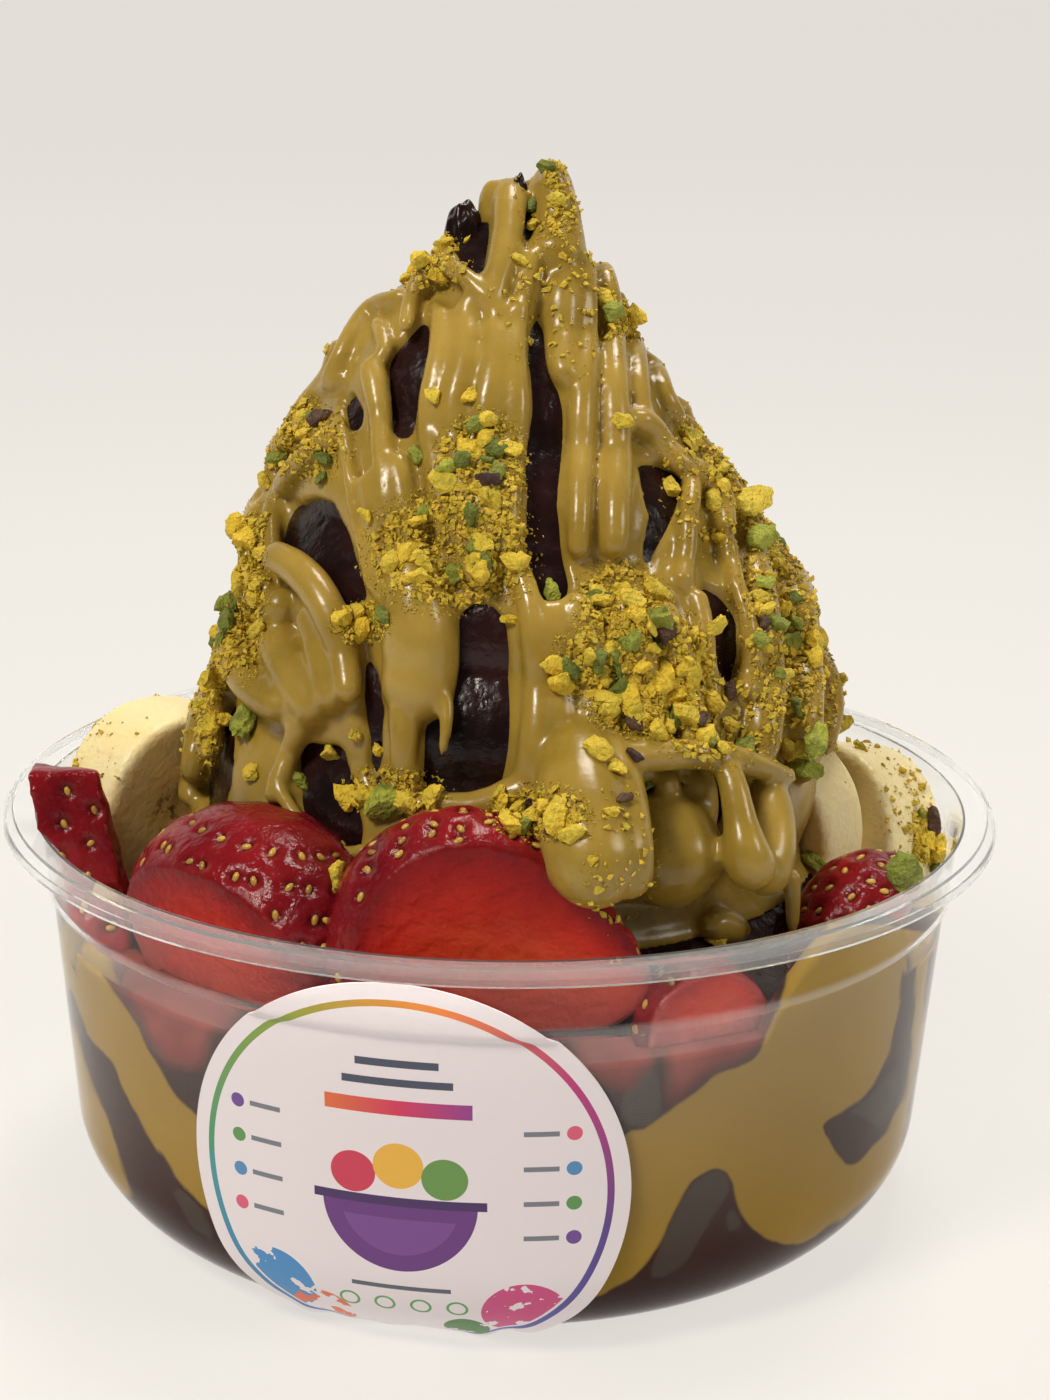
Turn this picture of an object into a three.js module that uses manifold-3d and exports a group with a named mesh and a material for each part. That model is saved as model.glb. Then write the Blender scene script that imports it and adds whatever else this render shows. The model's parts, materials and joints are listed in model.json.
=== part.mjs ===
// A take-away acai bowl: a clear plastic bowl with a rolled rim and a round paper label, filled with acai
// soft serve that stands up as a tall swirl, poured over with thick pistachio sauce and chopped pistachios,
// with strawberries at the front of the rim and banana slices round the rest of it.
// Millimetres, +Z up, the origin under the middle of the base. The front, with the label, faces -Y.
// An angle is in degrees round the axis: 0 is the front, 90 the right, -90 the left and 180 the back.
import * as THREE from "three";
import { mergeVertices } from "three/addons/utils/BufferGeometryUtils.js";
import Module from "manifold-3d";

const wasm = await Module();
wasm.setup();

const GAP = 0.3; // between pieces that touch
const SEGMENTS = 40; // round the bowl and round the acai, which have their corners at the same angles
const CORNER_STEPS = 4; // in the round of the bowl's lower corner, for whatever follows it
const COARSE = 0.45; // how far joining may move the sauce's surface to leave out triangles
const FINE = 0.2; // and the finished swirl's

const BOWL = {
  rimRadius: 75,
  height: 62,
  sheet: 0.7,
  footOuter: 49.5,
  footInner: 44,
  kick: 1.3, // the middle of the base stands this far off the table
  corner: 16,
  taper: 4.5, // degrees off upright
  stepHeight: 50, // a lid's skirt would rest here
  stepOut: 0.8,
  lip: 2.4, // how far the rolled edge turns down
  flange: 4.6,
};

const FILL = {
  level: 45, // of the acai against the wall
  smearTop: 59.2, // where sauce was smeared up the wall, right of the front
  smearAt: 46,
  smearHalf: 13, // degrees
  smearThick: 2.2,
};

const TOWER = {
  baseRadius: 45,
  baseHeight: 60,
  tip: 153,
  fullness: 1.75, // 1 is a straight cone
  coil: 15, // from one turn of the soft serve to the next
  ridge: 1.3,
  sway: 2.6, // to the right low down and to the left above that
  tipX: 4, // how far the tip leans right
};

const LABEL = { diameter: 62, top: 57.4, at: -11, thick: 0.25 };

const rad = THREE.MathUtils.degToRad;
const mix = THREE.MathUtils.lerp;

// The point at this angle, distance from the axis and height.
function polar(angle, radius, height) {
  return new THREE.Vector3(radius * Math.sin(rad(angle)), -radius * Math.cos(rad(angle)), height);
}

// Random numbers from 0 to 1 that are the same each time.
function seeded(seed) {
  let state = seed;
  return () => {
    state = (state * 1664525 + 1013904223) % 4294967296;
    return state / 4294967296;
  };
}

// A closed geometry as a solid that can be joined and cut.
function solid(geometry) {
  const plain = geometry.clone();
  plain.deleteAttribute("normal");
  plain.deleteAttribute("uv");
  const merged = mergeVertices(plain, 1e-4);
  const made = new wasm.Manifold(
    new wasm.Mesh({
      numProp: 3,
      vertProperties: new Float32Array(merged.attributes.position.array),
      triVerts: new Uint32Array(merged.index.array),
    }),
  );
  return made;
}

// A solid's largest piece as a geometry. Hollows that joining sealed are filled and loose scraps dropped.
function geometryOf(made) {
  const shells = made.decompose().sort((a, b) => b.volume() - a.volume());
  const mesh = shells[0].getMesh();
  const geometry = new THREE.BufferGeometry();
  geometry.setAttribute("position", new THREE.BufferAttribute(new Float32Array(mesh.vertProperties), 3));
  geometry.setIndex(new THREE.BufferAttribute(new Uint32Array(mesh.triVerts), 1));
  return geometry;
}

// A closed surface from rings of points, each ring turning the same way, with a pole at each end.
function skin(bottomPole, rings, topPole) {
  const around = rings[0].length;
  const points = [bottomPole, ...rings.flat(), topPole];
  const index = [];
  const at = (ring, k) => 1 + ring * around + (k % around);
  for (let k = 0; k < around; k++) {
    index.push(0, at(0, k + 1), at(0, k));
    index.push(points.length - 1, at(rings.length - 1, k), at(rings.length - 1, k + 1));
    for (let j = 0; j + 1 < rings.length; j++) {
      index.push(at(j, k), at(j, k + 1), at(j + 1, k + 1));
      index.push(at(j, k), at(j + 1, k + 1), at(j + 1, k));
    }
  }
  return new THREE.BufferGeometry().setFromPoints(points).setIndex(index);
}

// A surface of revolution whose profile may change with the angle. Profiles run up from the axis to the axis.
function revolve(steps, profileAt) {
  const profiles = Array.from({ length: steps }, (_, k) => profileAt((360 * k) / steps));
  const count = profiles[0].length;
  const rings = [];
  for (let j = 1; j + 1 < count; j++) {
    rings.push(profiles.map((profile, k) => polar((360 * k) / steps, profile[j][0], profile[j][1])));
  }
  const pole = (j) => new THREE.Vector3(0, 0, profiles[0][j][1]);
  return skin(pole(0), rings, pole(count - 1));
}

// The bowl

// Radius of the wall's outer face at a height between its corner and its step.
function wallRadius(height) {
  const cornerTop = BOWL.corner * (1 - Math.sin(rad(BOWL.taper)));
  const atCorner = BOWL.footOuter + BOWL.corner * Math.cos(rad(BOWL.taper));
  return atCorner + (height - cornerTop) * Math.tan(rad(BOWL.taper));
}

// The bowl's outer line as [radius, height] from the middle of the base to the wall's top.
function outerWall(cornerSteps) {
  const line = [
    [0, BOWL.kick],
    [BOWL.footInner - 1.2, BOWL.kick],
    [BOWL.footInner, 0],
    [BOWL.footOuter, 0],
  ];
  for (let k = 1; k <= cornerSteps; k++) {
    const turn = rad(mix(-90, -BOWL.taper, k / cornerSteps));
    line.push([BOWL.footOuter + BOWL.corner * Math.cos(turn), BOWL.corner * (1 + Math.sin(turn))]);
  }
  line.push([wallRadius(BOWL.stepHeight - 0.5), BOWL.stepHeight - 0.5]);
  return line;
}

// On from the wall's top: the lid's step, the band above it, and the rim's flat top and turned-down lip.
function outerRim() {
  const band = wallRadius(BOWL.stepHeight) + BOWL.stepOut;
  const edge = BOWL.rimRadius - BOWL.sheet;
  return [
    [band, BOWL.stepHeight + 0.5],
    [band + 0.4, BOWL.height - 3.4],
    [BOWL.rimRadius - BOWL.flange, BOWL.height - BOWL.sheet - 0.5],
    [edge - 0.9, BOWL.height - BOWL.sheet],
    [edge, BOWL.height - BOWL.sheet - 0.8],
    [edge, BOWL.height - BOWL.lip],
  ];
}

// A line moved by distance to its left, which is into the bowl.
function inset(line, distance) {
  return line.map(([radius, height], k) => {
    const before = line[Math.max(k - 1, 0)];
    const after = line[Math.min(k + 1, line.length - 1)];
    const along = new THREE.Vector2(after[0] - before[0], after[1] - before[1]).normalize();
    return [radius === 0 ? 0 : radius - along.y * distance, height + along.x * distance];
  });
}

function bowlGeometry() {
  const outside = [...outerWall(CORNER_STEPS), ...outerRim()];
  const inside = inset(outside, BOWL.sheet);
  const profile = [...outside, ...inside.reverse()];
  const points = profile.map(([radius, height]) => new THREE.Vector2(radius, height));
  return new THREE.LatheGeometry(points, SEGMENTS).rotateX(Math.PI / 2);
}

// The round label lies on the wall, over the step, and turns under at the bowl's lower corner. It has a row
// of points at each bend of the wall, so that it keeps the same distance all the way down.
function labelGeometry() {
  const line = inset([...outerWall(CORNER_STEPS), ...outerRim().slice(0, 2)], -GAP).slice(4).reverse();
  const downTo = [LABEL.top - line[0][1]];
  for (let k = 1; k < line.length; k++) {
    downTo.push(downTo[k - 1] + Math.hypot(line[k][0] - line[k - 1][0], line[k][1] - line[k - 1][1]));
  }
  const half = LABEL.diameter / 2;
  const bends = downTo.filter((down) => down > 1.5 && down < LABEL.diameter - 1.5);
  const rows = [0.8, 3, 14, 22, 31, 38, ...bends, LABEL.diameter - 0.8].sort((a, b) => a - b);
  const columns = 8;
  // The place of the label's point this far right of and below its top, on one of its two faces.
  const place = (right, down, lift) => {
    let k = 1;
    while (k < line.length - 1 && downTo[k] < down) k++;
    const share = (down - downTo[k - 1]) / (downTo[k] - downTo[k - 1]);
    const radius = mix(line[k - 1][0], line[k][0], share);
    const height = mix(line[k - 1][1], line[k][1], share);
    const along = new THREE.Vector2(line[k][0] - line[k - 1][0], line[k][1] - line[k - 1][1]).normalize();
    const angle = LABEL.at + THREE.MathUtils.radToDeg(right / radius);
    return polar(angle, radius - along.y * lift, height + along.x * lift);
  };
  const faces = [0, LABEL.thick].map((lift) => {
    const grid = rows.flatMap((down) => {
      const reach = Math.sqrt(half ** 2 - (down - half) ** 2);
      const across = (k) => mix(-reach, reach, k / columns);
      return Array.from({ length: columns + 1 }, (_, k) => place(across(k), down, lift));
    });
    return [place(0, 0, lift), ...grid, place(0, LABEL.diameter, lift)];
  });
  const size = faces[0].length;
  const last = rows.length - 1;
  const at = (face, j, k) => face * size + 1 + j * (columns + 1) + k;
  const index = [];
  for (const face of [0, 1]) {
    const add = (a, b, c) => (face ? index.push(a, b, c) : index.push(a, c, b));
    for (let k = 0; k < columns; k++) {
      add(face * size, at(face, 0, k), at(face, 0, k + 1));
      add(face * size + size - 1, at(face, last, k + 1), at(face, last, k));
      for (let j = 0; j < last; j++) {
        add(at(face, j, k), at(face, j + 1, k), at(face, j + 1, k + 1));
        add(at(face, j, k), at(face, j + 1, k + 1), at(face, j, k + 1));
      }
    }
  }
  // The edge between the two faces, down the left side and up the right.
  const left = rows.map((_, j) => at(0, j, 0));
  const right = rows.map((_, j) => at(0, last - j, columns));
  const edge = [0, ...left, size - 1, ...right];
  edge.forEach((from, k) => {
    const to = edge[(k + 1) % edge.length];
    index.push(from, to + size, from + size, from, to, to + size);
  });
  return new THREE.BufferGeometry().setFromPoints(faces.flat()).setIndex(index);
}

// The acai, its sauce and its nuts

// Radius of the bare swirl: a full cone with the ridge of a soft-serve coil winding up it.
function coreRadius(angle, height) {
  const share = THREE.MathUtils.clamp((height - TOWER.baseHeight) / (TOWER.tip - TOWER.baseHeight), 0, 1);
  const cone = TOWER.baseRadius * (1 - share ** TOWER.fullness);
  const coil = Math.abs(Math.sin(Math.PI * (height / TOWER.coil + angle / 360)));
  return cone + TOWER.ridge * coil * Math.min(1, cone / 12);
}

// The swirl sways to the right, to the left, and at its tip to the right again.
function lean(point) {
  const share = THREE.MathUtils.clamp((point.z - TOWER.baseHeight) / (TOWER.tip - TOWER.baseHeight), 0, 1);
  point.x += TOWER.sway * Math.sin(2 * Math.PI * share) + TOWER.tipX * share ** 8;
  return point;
}

// How much of the smear of sauce stands at this angle, from 0 to 1.
function smear(angle) {
  const away = Math.abs(angle - FILL.smearAt) / FILL.smearHalf;
  return away < 1 ? Math.cos((away * Math.PI) / 2) ** 0.5 : 0;
}

// Sauce that runs down the swirl. Each row is one stream: its angle where it starts and ends, its highest and
// lowest height, its width and thickness, how much its end swells, and how far its end stands off the swirl.
const STREAMS = [
  [-60, -15, 153, 131, 8, 4.5, 1.0, 0], // down the left of the tip
  [40, 50, 154, 136, 10, 5.5, 1.1, 0], // down the right of the tip
  [-8, -16, 138, 108, 16, 5, 1.2, 0], // the broad front sheet
  [-16, -18, 110, 84, 14, 6.5, 1.35, 2], // and the lobe it ends in
  [-4, 3, 108, 71, 9, 4.5, 1.0, 1], // the strand beside the lobe
  [-24, -26, 88, 68, 9, 4.5, 0.9, 1],
  [11, 17, 140, 96, 9, 4.5, 1.0, 0], // two strands right of the dark cleft
  [45, 32, 139, 93, 10, 4.5, 1.1, 0],
  [78, 56, 133, 106, 11, 4.5, 1.0, 0],
  [50, 44, 113, 88, 7.5, 4.5, 1.0, 0],
  [72, 66, 112, 82, 10, 4.5, 1.1, 0],
  [-54, -30, 141, 116, 8, 4.5, 1.0, 0], // the arch at the upper left
  [-68, -54, 129, 106, 7, 4, 1.0, 0],
  [-92, -84, 137, 118, 9, 4.5, 1.1, 1],
  [-66, -86, 116, 94, 9, 4.5, 1.1, 0], // round the dark window at the left
  [-50, -34, 116, 88, 8.5, 4.5, 1.1, 0],
  [-64, -50, 97, 76, 17, 6, 1.2, 1], // folded sheet under it
  [-90, -82, 100, 60, 10, 4.5, 1.0, 1],
  [-46, -38, 84, 64, 9, 4.5, 1.0, 1],
  [8, 13, 96, 74, 13, 5, 1.1, 1], // nutty sheet, front right
  [-12, -8, 80, 62, 18, 4.5, 1.0, 2], // apron over the strawberries
  [26, 30, 98, 58, 14, 5.5, 1.3, 3],
  [41, 45, 98, 59, 13, 5.5, 1.3, 4],
  [60, 62, 104, 60, 15, 6, 1.2, 3],
  [80, 84, 112, 62, 15, 5, 1.2, 2],
];

// The hidden back has streams of the same sizes, spaced by a rule.
function backStreams() {
  const random = seeded(7);
  const made = [];
  for (let angle = 102; angle < 264; angle += 16) {
    const [top, bottom] = [mix(106, 148, random()), mix(60, 82, random())];
    made.push([angle, angle + mix(-10, 10, random()), top, bottom, mix(10, 15, random()), 5, 1.2, 1.5]);
  }
  return made;
}

const ALL_STREAMS = [...STREAMS, ...backStreams()];

// Rounded masses of sauce that stand clear of the swirl, two at its tip and the rest at the front: each one's
// angle, distance from the axis, height, and its size across, out and up.
const DROPS = [
  [-60, 1.5, 145.5, 10, 10, 15],
  [90, 5, 147.3, 12, 12, 18],
  [8, 55, 75.5, 17, 20, 8],
  [9.5, 61.5, 71.5, 15, 8, 11],
  [10.5, 64, 65, 14, 8, 16],
  [30, 54, 62, 15, 12, 14],
  [47, 54, 63, 14, 12, 15],
];

// A stream's centre line from its top to its bottom: [angle, height, half width, thickness, distance off].
function streamLine([startAngle, endAngle, top, bottom, width, thickness, swell, standOff]) {
  const steps = Math.max(3, Math.round((top - bottom) / 5));
  return Array.from({ length: steps + 1 }, (_, k) => {
    const share = k / steps;
    const size = mix(mix(0.8, 1, share), swell, share ** 3);
    const off = standOff * share ** 2;
    const angle = mix(startAngle, endAngle, Math.sqrt(share));
    return [angle, mix(top, bottom, share), (width * size) / 2, thickness * size, off];
  });
}

const LINES = ALL_STREAMS.map(streamLine);

// How far the sauce stands off the bare swirl at an angle and height, as the thickest of the streams there.
function sauceDepth(angle, height) {
  const perDegree = (coreRadius(angle, height) + 2) * (Math.PI / 180);
  let deepest = 0;
  for (const line of LINES) {
    for (let k = 1; k < line.length; k++) {
      const turn = THREE.MathUtils.euclideanModulo(angle - line[k - 1][0] + 180, 360) - 180;
      const from = new THREE.Vector2(turn * perDegree, height - line[k - 1][1]);
      const way = new THREE.Vector2((line[k][0] - line[k - 1][0]) * perDegree, line[k][1] - line[k - 1][1]);
      const share = THREE.MathUtils.clamp(from.dot(way) / way.lengthSq(), 0, 1);
      const [halfWidth, thickness, off] = [2, 3, 4].map((j) => mix(line[k - 1][j], line[k][j], share));
      const away = from.addScaledVector(way, -share).length() / halfWidth;
      if (away < 1) deepest = Math.max(deepest, thickness * Math.sqrt(1 - away ** 2) + off * (1 - away ** 4));
    }
  }
  return deepest;
}

// Angles to give the swirl a point at: close together over the front half, where the photograph shows it.
function swirlAngles() {
  const made = [];
  for (let angle = -99; angle < 99; angle += 4.5) made.push(angle);
  for (let angle = 99; angle < 261; angle += 9) made.push(angle);
  return made;
}

function swirlSolid() {
  const wall = inset(outerWall(CORNER_STEPS), BOWL.sheet + GAP + 0.3);
  const inner = (height) => wallRadius(height) - BOWL.sheet - GAP - 0.3;
  const profiles = swirlAngles().map((angle) => {
    const top = mix(FILL.level + 0.6, FILL.smearTop, smear(angle));
    const line = wall.slice(0, -1);
    line.push([inner(30), 30]);
    line.push([inner(top), top]);
    line.push([inner(top) - FILL.smearThick, top - 0.1]);
    line.push([inner(FILL.level) - FILL.smearThick - 1.5, FILL.level]);
    line.push([54, FILL.level + 3]);
    const rings = 22;
    for (let k = 0; k < rings; k++) {
      const height = mix(FILL.level + 9, TOWER.tip - 1.5, k / (rings - 1));
      line.push([coreRadius(angle, height) + sauceDepth(angle, height), height]);
    }
    line.push([0, TOWER.tip + 2.5]);
    return line.map(([radius, height]) => lean(polar(angle, radius, height)));
  });
  const count = profiles[0].length;
  const rings = Array.from({ length: count - 2 }, (_, j) => profiles.map((profile) => profile[j + 1]));
  return solid(skin(profiles[0][0], rings, profiles[0][count - 1]));
}

function dropSolid([angle, radius, height, across, out, up]) {
  const geometry = new THREE.IcosahedronGeometry(1, 1);
  geometry.scale(across / 2, out / 2, up / 2).rotateZ(rad(angle));
  const middle = polar(angle, radius, height);
  return solid(geometry.translate(middle.x, middle.y, middle.z));
}

// A chopped nut: a small uneven lump, longer one way.
function nut(point, size, random) {
  const geometry = new THREE.IcosahedronGeometry(1);
  geometry.scale(size * mix(0.6, 0.95, random()), size * 0.5, size * mix(0.45, 0.6, random()));
  geometry.rotateZ(random() * Math.PI);
  geometry.rotateX(random() * Math.PI);
  return geometry.translate(point.x, point.y, point.z);
}

// The largest nuts lie along the streams, more of them low down.
function nutSolids() {
  const random = seeded(23);
  const made = [];
  for (const line of LINES) {
    const count = Math.round((line[0][1] - line[line.length - 1][1]) / 33);
    for (let k = 0; k < count; k++) {
      const share = Math.sqrt((k + 0.7 * random()) / count);
      const [middle, height, halfWidth] = line[Math.round(share * (line.length - 1))];
      const across = 0.8 * (random() - 0.5) * halfWidth;
      const angle = middle + THREE.MathUtils.radToDeg(across / (coreRadius(middle, height) + 2));
      const point = lean(polar(angle, coreRadius(angle, height) + sauceDepth(angle, height), height));
      made.push(solid(nut(point, mix(2.4, 4.4, random()), random)));
    }
  }
  return made;
}

// The fruit

// A strawberry along +Z, its shoulder up and its tip down.
function berryGeometry(length, width, sides, rings) {
  const circle = (share) => {
    const radius = (width / 2) * Math.sin(Math.PI * share ** 0.72) ** 0.72;
    const height = length * (0.5 - share);
    return Array.from({ length: sides }, (_, k) => {
      const turn = (2 * Math.PI * k) / sides;
      return new THREE.Vector3(radius * Math.cos(turn), radius * Math.sin(turn), height);
    });
  };
  const shares = Array.from({ length: rings }, (_, k) => (k + 1) / (rings + 1)).reverse();
  return skin(new THREE.Vector3(0, 0, -length / 2), shares.map(circle), new THREE.Vector3(0, 0, length / 2));
}

// A box that stands on the plane through point with this normal, on the side that the normal points to.
function sideOf(point, normal) {
  const size = 200;
  const box = new THREE.BoxGeometry(size, size, size).translate(0, 0, size / 2);
  const up = new THREE.Vector3(0, 0, 1);
  const turn = new THREE.Quaternion().setFromUnitVectors(up, normal.clone().normalize());
  return solid(box.applyQuaternion(turn).translate(point.x, point.y, point.z));
}

// The room inside the bowl, clear of its wall and rim, and above the rim as far out as the rim reaches.
function roomSolid() {
  const line = inset([...outerWall(CORNER_STEPS), ...outerRim().slice(0, 4)], BOWL.sheet + GAP);
  const over = [BOWL.rimRadius - 0.1, BOWL.height + GAP];
  return solid(revolve(SEGMENTS, () => [...line.slice(0, -1), over, [over[0], 200], [0, 200]]));
}

// Each strawberry: where its middle is, the way its shoulder points, its length and width, and its cuts, each
// the way out of the cut face and the face's distance from the middle.
const BERRIES = {
  strawberry_front: {
    middle: [-1, -59, 57],
    shoulder: [-1, 0, 0.25],
    length: 45,
    width: 38,
    depth: 26,
    cuts: [[[0, -1, 0.06], 0.5]],
  },
  strawberry_front_left: {
    middle: [-34, -42, 50.5],
    shoulder: [0.12, 0.1, 1],
    length: 42,
    width: 42,
    depth: 30,
    cuts: [[[-0.63, -0.72, -0.3], 6]],
  },
  strawberry_left: {
    middle: [-59.5, -24, 55],
    shoulder: [-0.42, 0.2, 0.87],
    length: 44,
    width: 26,
    depth: 22,
    cuts: [
      [[-0.3, 0.1, 1], 13.5],
      [[-0.8, 0.1, -0.5], 3],
      [[0.8, -0.1, 0.4], 6],
      [[0.25, 0.9, 0], 4],
    ],
  },
  strawberry_right_inside: {
    middle: [26.5, -54.5, 43.5],
    shoulder: [0.3, 0.2, 1],
    length: 24,
    width: 20,
    depth: 17,
    cuts: [[[0.42, -0.9, 0], 3.2]],
  },
  strawberry_right: {
    middle: [50, -30.5, 50.5],
    shoulder: [0.6, 0.5, 0.45],
    length: 28,
    width: 22,
    depth: 18,
    cuts: [[[0.75, -0.1, -0.6], 3]],
  },
};

// The piece, larger by grow all round, as is used to cut a place for it.
function berrySolid({ middle, shoulder, length, width, depth, cuts }, grow) {
  const centre = new THREE.Vector3(...middle);
  const up = new THREE.Vector3(...shoulder).normalize();
  const out = new THREE.Vector3(...cuts[0][0]).normalize();
  const side = up.clone().cross(out).normalize();
  const deep = up.clone().cross(side);
  const geometry = berryGeometry(length + 2 * grow, width + 2 * grow, 14, 8);
  geometry.scale(1, (depth + 2 * grow) / (width + 2 * grow), 1);
  geometry.applyMatrix4(new THREE.Matrix4().makeBasis(side, deep, up).setPosition(centre));
  let made = solid(geometry);
  for (const [way, distance] of cuts) {
    const normal = new THREE.Vector3(...way).normalize();
    made = made.subtract(sideOf(centre.clone().addScaledVector(normal, distance + grow), normal));
  }
  return made;
}

// Banana slices stand on edge behind and beside the swirl: each one's angle, distance from the axis and height
// of its middle, how far its face turns from outwards, how far its top leans in, its diameter and its thickness.
const BANANAS = {
  banana_left: [-92, 52, 59, -42, 4, 31, 12],
  banana_left_behind: [-114.4, 53.3, 54, -21, 4, 28, 9],
  banana_back_1: [-143, 55, 54.5, -32, 12, 30, 10],
  banana_back_2: [-171, 55, 55.5, -30, 14, 31, 10],
  banana_back_3: [161, 55, 54.5, -32, 14, 30, 10],
  banana_back_4: [134, 55, 54.5, -32, 12, 29, 10],
  banana_right: [98.4, 54.6, 52.5, 32, -12, 30, 13],
  banana_right_inside: [90, 41, 57.5, 45, 5, 31, 10],
};

function bananaSolid([angle, distance, height, turn, tilt, diameter, thickness], grow) {
  const radius = diameter / 2 + grow;
  const half = thickness / 2 + grow;
  const round = 1.2;
  const profile = [
    [0, -half],
    [radius - round, -half],
    [radius, -half + round],
    [radius, half - round],
    [radius - round, half],
    [0, half],
  ];
  const points = profile.map(([across, along]) => new THREE.Vector2(across, along));
  const geometry = new THREE.LatheGeometry(points, 18);
  geometry.scale(1, 1, 0.94);
  geometry.rotateX(rad(-tilt));
  geometry.rotateZ(rad(angle + turn));
  const middle = polar(angle, distance, height);
  return solid(geometry.translate(middle.x, middle.y, middle.z));
}

// The whole

function material(color, roughness, opacity = 1) {
  return new THREE.MeshStandardMaterial({
    color,
    roughness,
    metalness: 0,
    opacity,
    transparent: opacity < 1,
  });
}

const group = new THREE.Group();
function add(name, geometry, look) {
  const mesh = new THREE.Mesh(geometry, look);
  mesh.name = name;
  group.add(mesh);
}

const berryLook = material(0xa81c1c, 0.3);
const bananaLook = material(0xe6d7a0, 0.45);

add("bowl", bowlGeometry(), material(0xe8ecee, 0.08, 0.3));
add("label", labelGeometry(), material(0xf0ebee, 0.5));

const room = roomSolid();
let acai = swirlSolid();
for (const drop of DROPS) acai = acai.add(dropSolid(drop));
acai = acai.simplify(COARSE);
for (const piece of nutSolids()) acai = acai.add(piece);

// Each fruit gives way to the ones before it, and the acai to all of them.
const fruits = [
  ...Object.entries(BERRIES).map(([name, berry]) => [name, berryLook, (grow) => berrySolid(berry, grow)]),
  ...Object.entries(BANANAS).map(([name, banana]) => [name, bananaLook, (grow) => bananaSolid(banana, grow)]),
];
const placed = [];
for (const [name, look, shape] of fruits) {
  let fruit = room.intersect(shape(0));
  for (const other of placed) fruit = fruit.subtract(other);
  add(name, geometryOf(fruit), look);
  placed.push(shape(GAP));
  acai = acai.subtract(shape(GAP));
}
add("acai_swirl", geometryOf(acai.simplify(FINE)), material(0x7f6b33, 0.25));

export default group;
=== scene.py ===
# %% [markdown]
# An acai bowl, in cells. The bowl is clear thin plastic. Acai soft serve fills it and stands up as a swirl.
# Thick pistachio sauce runs down the swirl in strands that leave dark windows between them, and chopped
# pistachios, strawberries and banana slices lie on and round it.
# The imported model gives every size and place. It is loaded first and never moved, and its box is kept so that
# the finished piece can be held against it at the end.

# %% Load the frame
import json
import math
import random

import bpy
import numpy as np
from mathutils import Matrix, Vector
from mathutils.bvhtree import BVHTree

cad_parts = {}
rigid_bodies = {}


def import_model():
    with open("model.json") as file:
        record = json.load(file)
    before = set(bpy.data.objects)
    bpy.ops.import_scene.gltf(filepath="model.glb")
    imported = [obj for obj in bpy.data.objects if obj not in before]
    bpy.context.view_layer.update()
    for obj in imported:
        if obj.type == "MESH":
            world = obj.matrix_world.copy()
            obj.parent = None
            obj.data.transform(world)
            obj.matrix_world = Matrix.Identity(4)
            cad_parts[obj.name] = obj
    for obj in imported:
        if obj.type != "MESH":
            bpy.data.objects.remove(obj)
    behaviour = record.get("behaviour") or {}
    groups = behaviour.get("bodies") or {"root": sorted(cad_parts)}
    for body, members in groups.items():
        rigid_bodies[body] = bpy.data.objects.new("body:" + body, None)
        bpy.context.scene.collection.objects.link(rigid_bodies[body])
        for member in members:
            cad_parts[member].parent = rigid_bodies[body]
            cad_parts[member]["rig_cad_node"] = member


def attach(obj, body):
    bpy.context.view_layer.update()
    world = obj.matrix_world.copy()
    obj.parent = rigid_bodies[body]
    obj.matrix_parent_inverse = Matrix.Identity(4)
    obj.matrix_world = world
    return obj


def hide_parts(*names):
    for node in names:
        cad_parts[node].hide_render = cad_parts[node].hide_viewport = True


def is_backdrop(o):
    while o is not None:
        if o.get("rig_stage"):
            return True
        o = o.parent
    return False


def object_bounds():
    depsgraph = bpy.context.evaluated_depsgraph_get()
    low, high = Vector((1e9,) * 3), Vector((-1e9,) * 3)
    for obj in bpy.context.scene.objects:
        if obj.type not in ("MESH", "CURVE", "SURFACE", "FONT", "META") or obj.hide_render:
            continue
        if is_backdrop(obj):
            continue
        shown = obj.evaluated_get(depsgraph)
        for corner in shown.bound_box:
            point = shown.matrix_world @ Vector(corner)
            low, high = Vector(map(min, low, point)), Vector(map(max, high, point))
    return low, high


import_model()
cad_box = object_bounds()
MM = 0.001
print("CAD box in mm:", [[round(value / MM, 1) for value in corner] for corner in cad_box])

# %% [markdown]
# The camera stands where the photograph's camera stood. Its place and its two axes were fitted to the rim,
# the base and the label. A pixel of the photograph is then a line of sight, and a strand of sauce that is
# seen at a pixel can be laid on the swirl where that line meets it.

# %% Camera
PHOTO_SIZE = np.array([1050.0, 1400.0])
FOCAL = 2474.5  # pixels
EYE = np.array([0.0, -361.1, 180.3])  # mm
AHEAD = np.array([0.0091, 0.9602, -0.2791])
UPWARD = np.array([-0.0149, 0.2792, 0.9601])
SENSOR = 36.0
PIXEL = 0.14  # mm that a pixel of the photograph spans at the bowl

AHEAD = AHEAD / np.linalg.norm(AHEAD)
UPWARD = UPWARD - AHEAD * UPWARD.dot(AHEAD)
UPWARD = UPWARD / np.linalg.norm(UPWARD)
RIGHTWARD = np.cross(AHEAD, UPWARD)

bpy.ops.object.select_all(action="DESELECT")
bpy.ops.object.camera_add()
camera = bpy.context.object
camera.name = "camera"
camera.data.sensor_width = SENSOR
camera.data.lens = FOCAL * SENSOR / PHOTO_SIZE[1]
axes = Matrix([RIGHTWARD, UPWARD, -AHEAD]).transposed().to_4x4()
camera.matrix_world = Matrix.Translation(Vector(EYE * MM)) @ axes
bpy.context.scene.camera = camera
print("lens", round(camera.data.lens, 2), "mm")


def sight(pixels):
    """The directions in which these pixels of the photograph are seen."""
    away = (np.asarray(pixels, float) - PHOTO_SIZE / 2) / FOCAL
    ways = AHEAD + away[:, :1] * RIGHTWARD - away[:, 1:] * UPWARD
    return ways / np.linalg.norm(ways, axis=1, keepdims=True)


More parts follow.
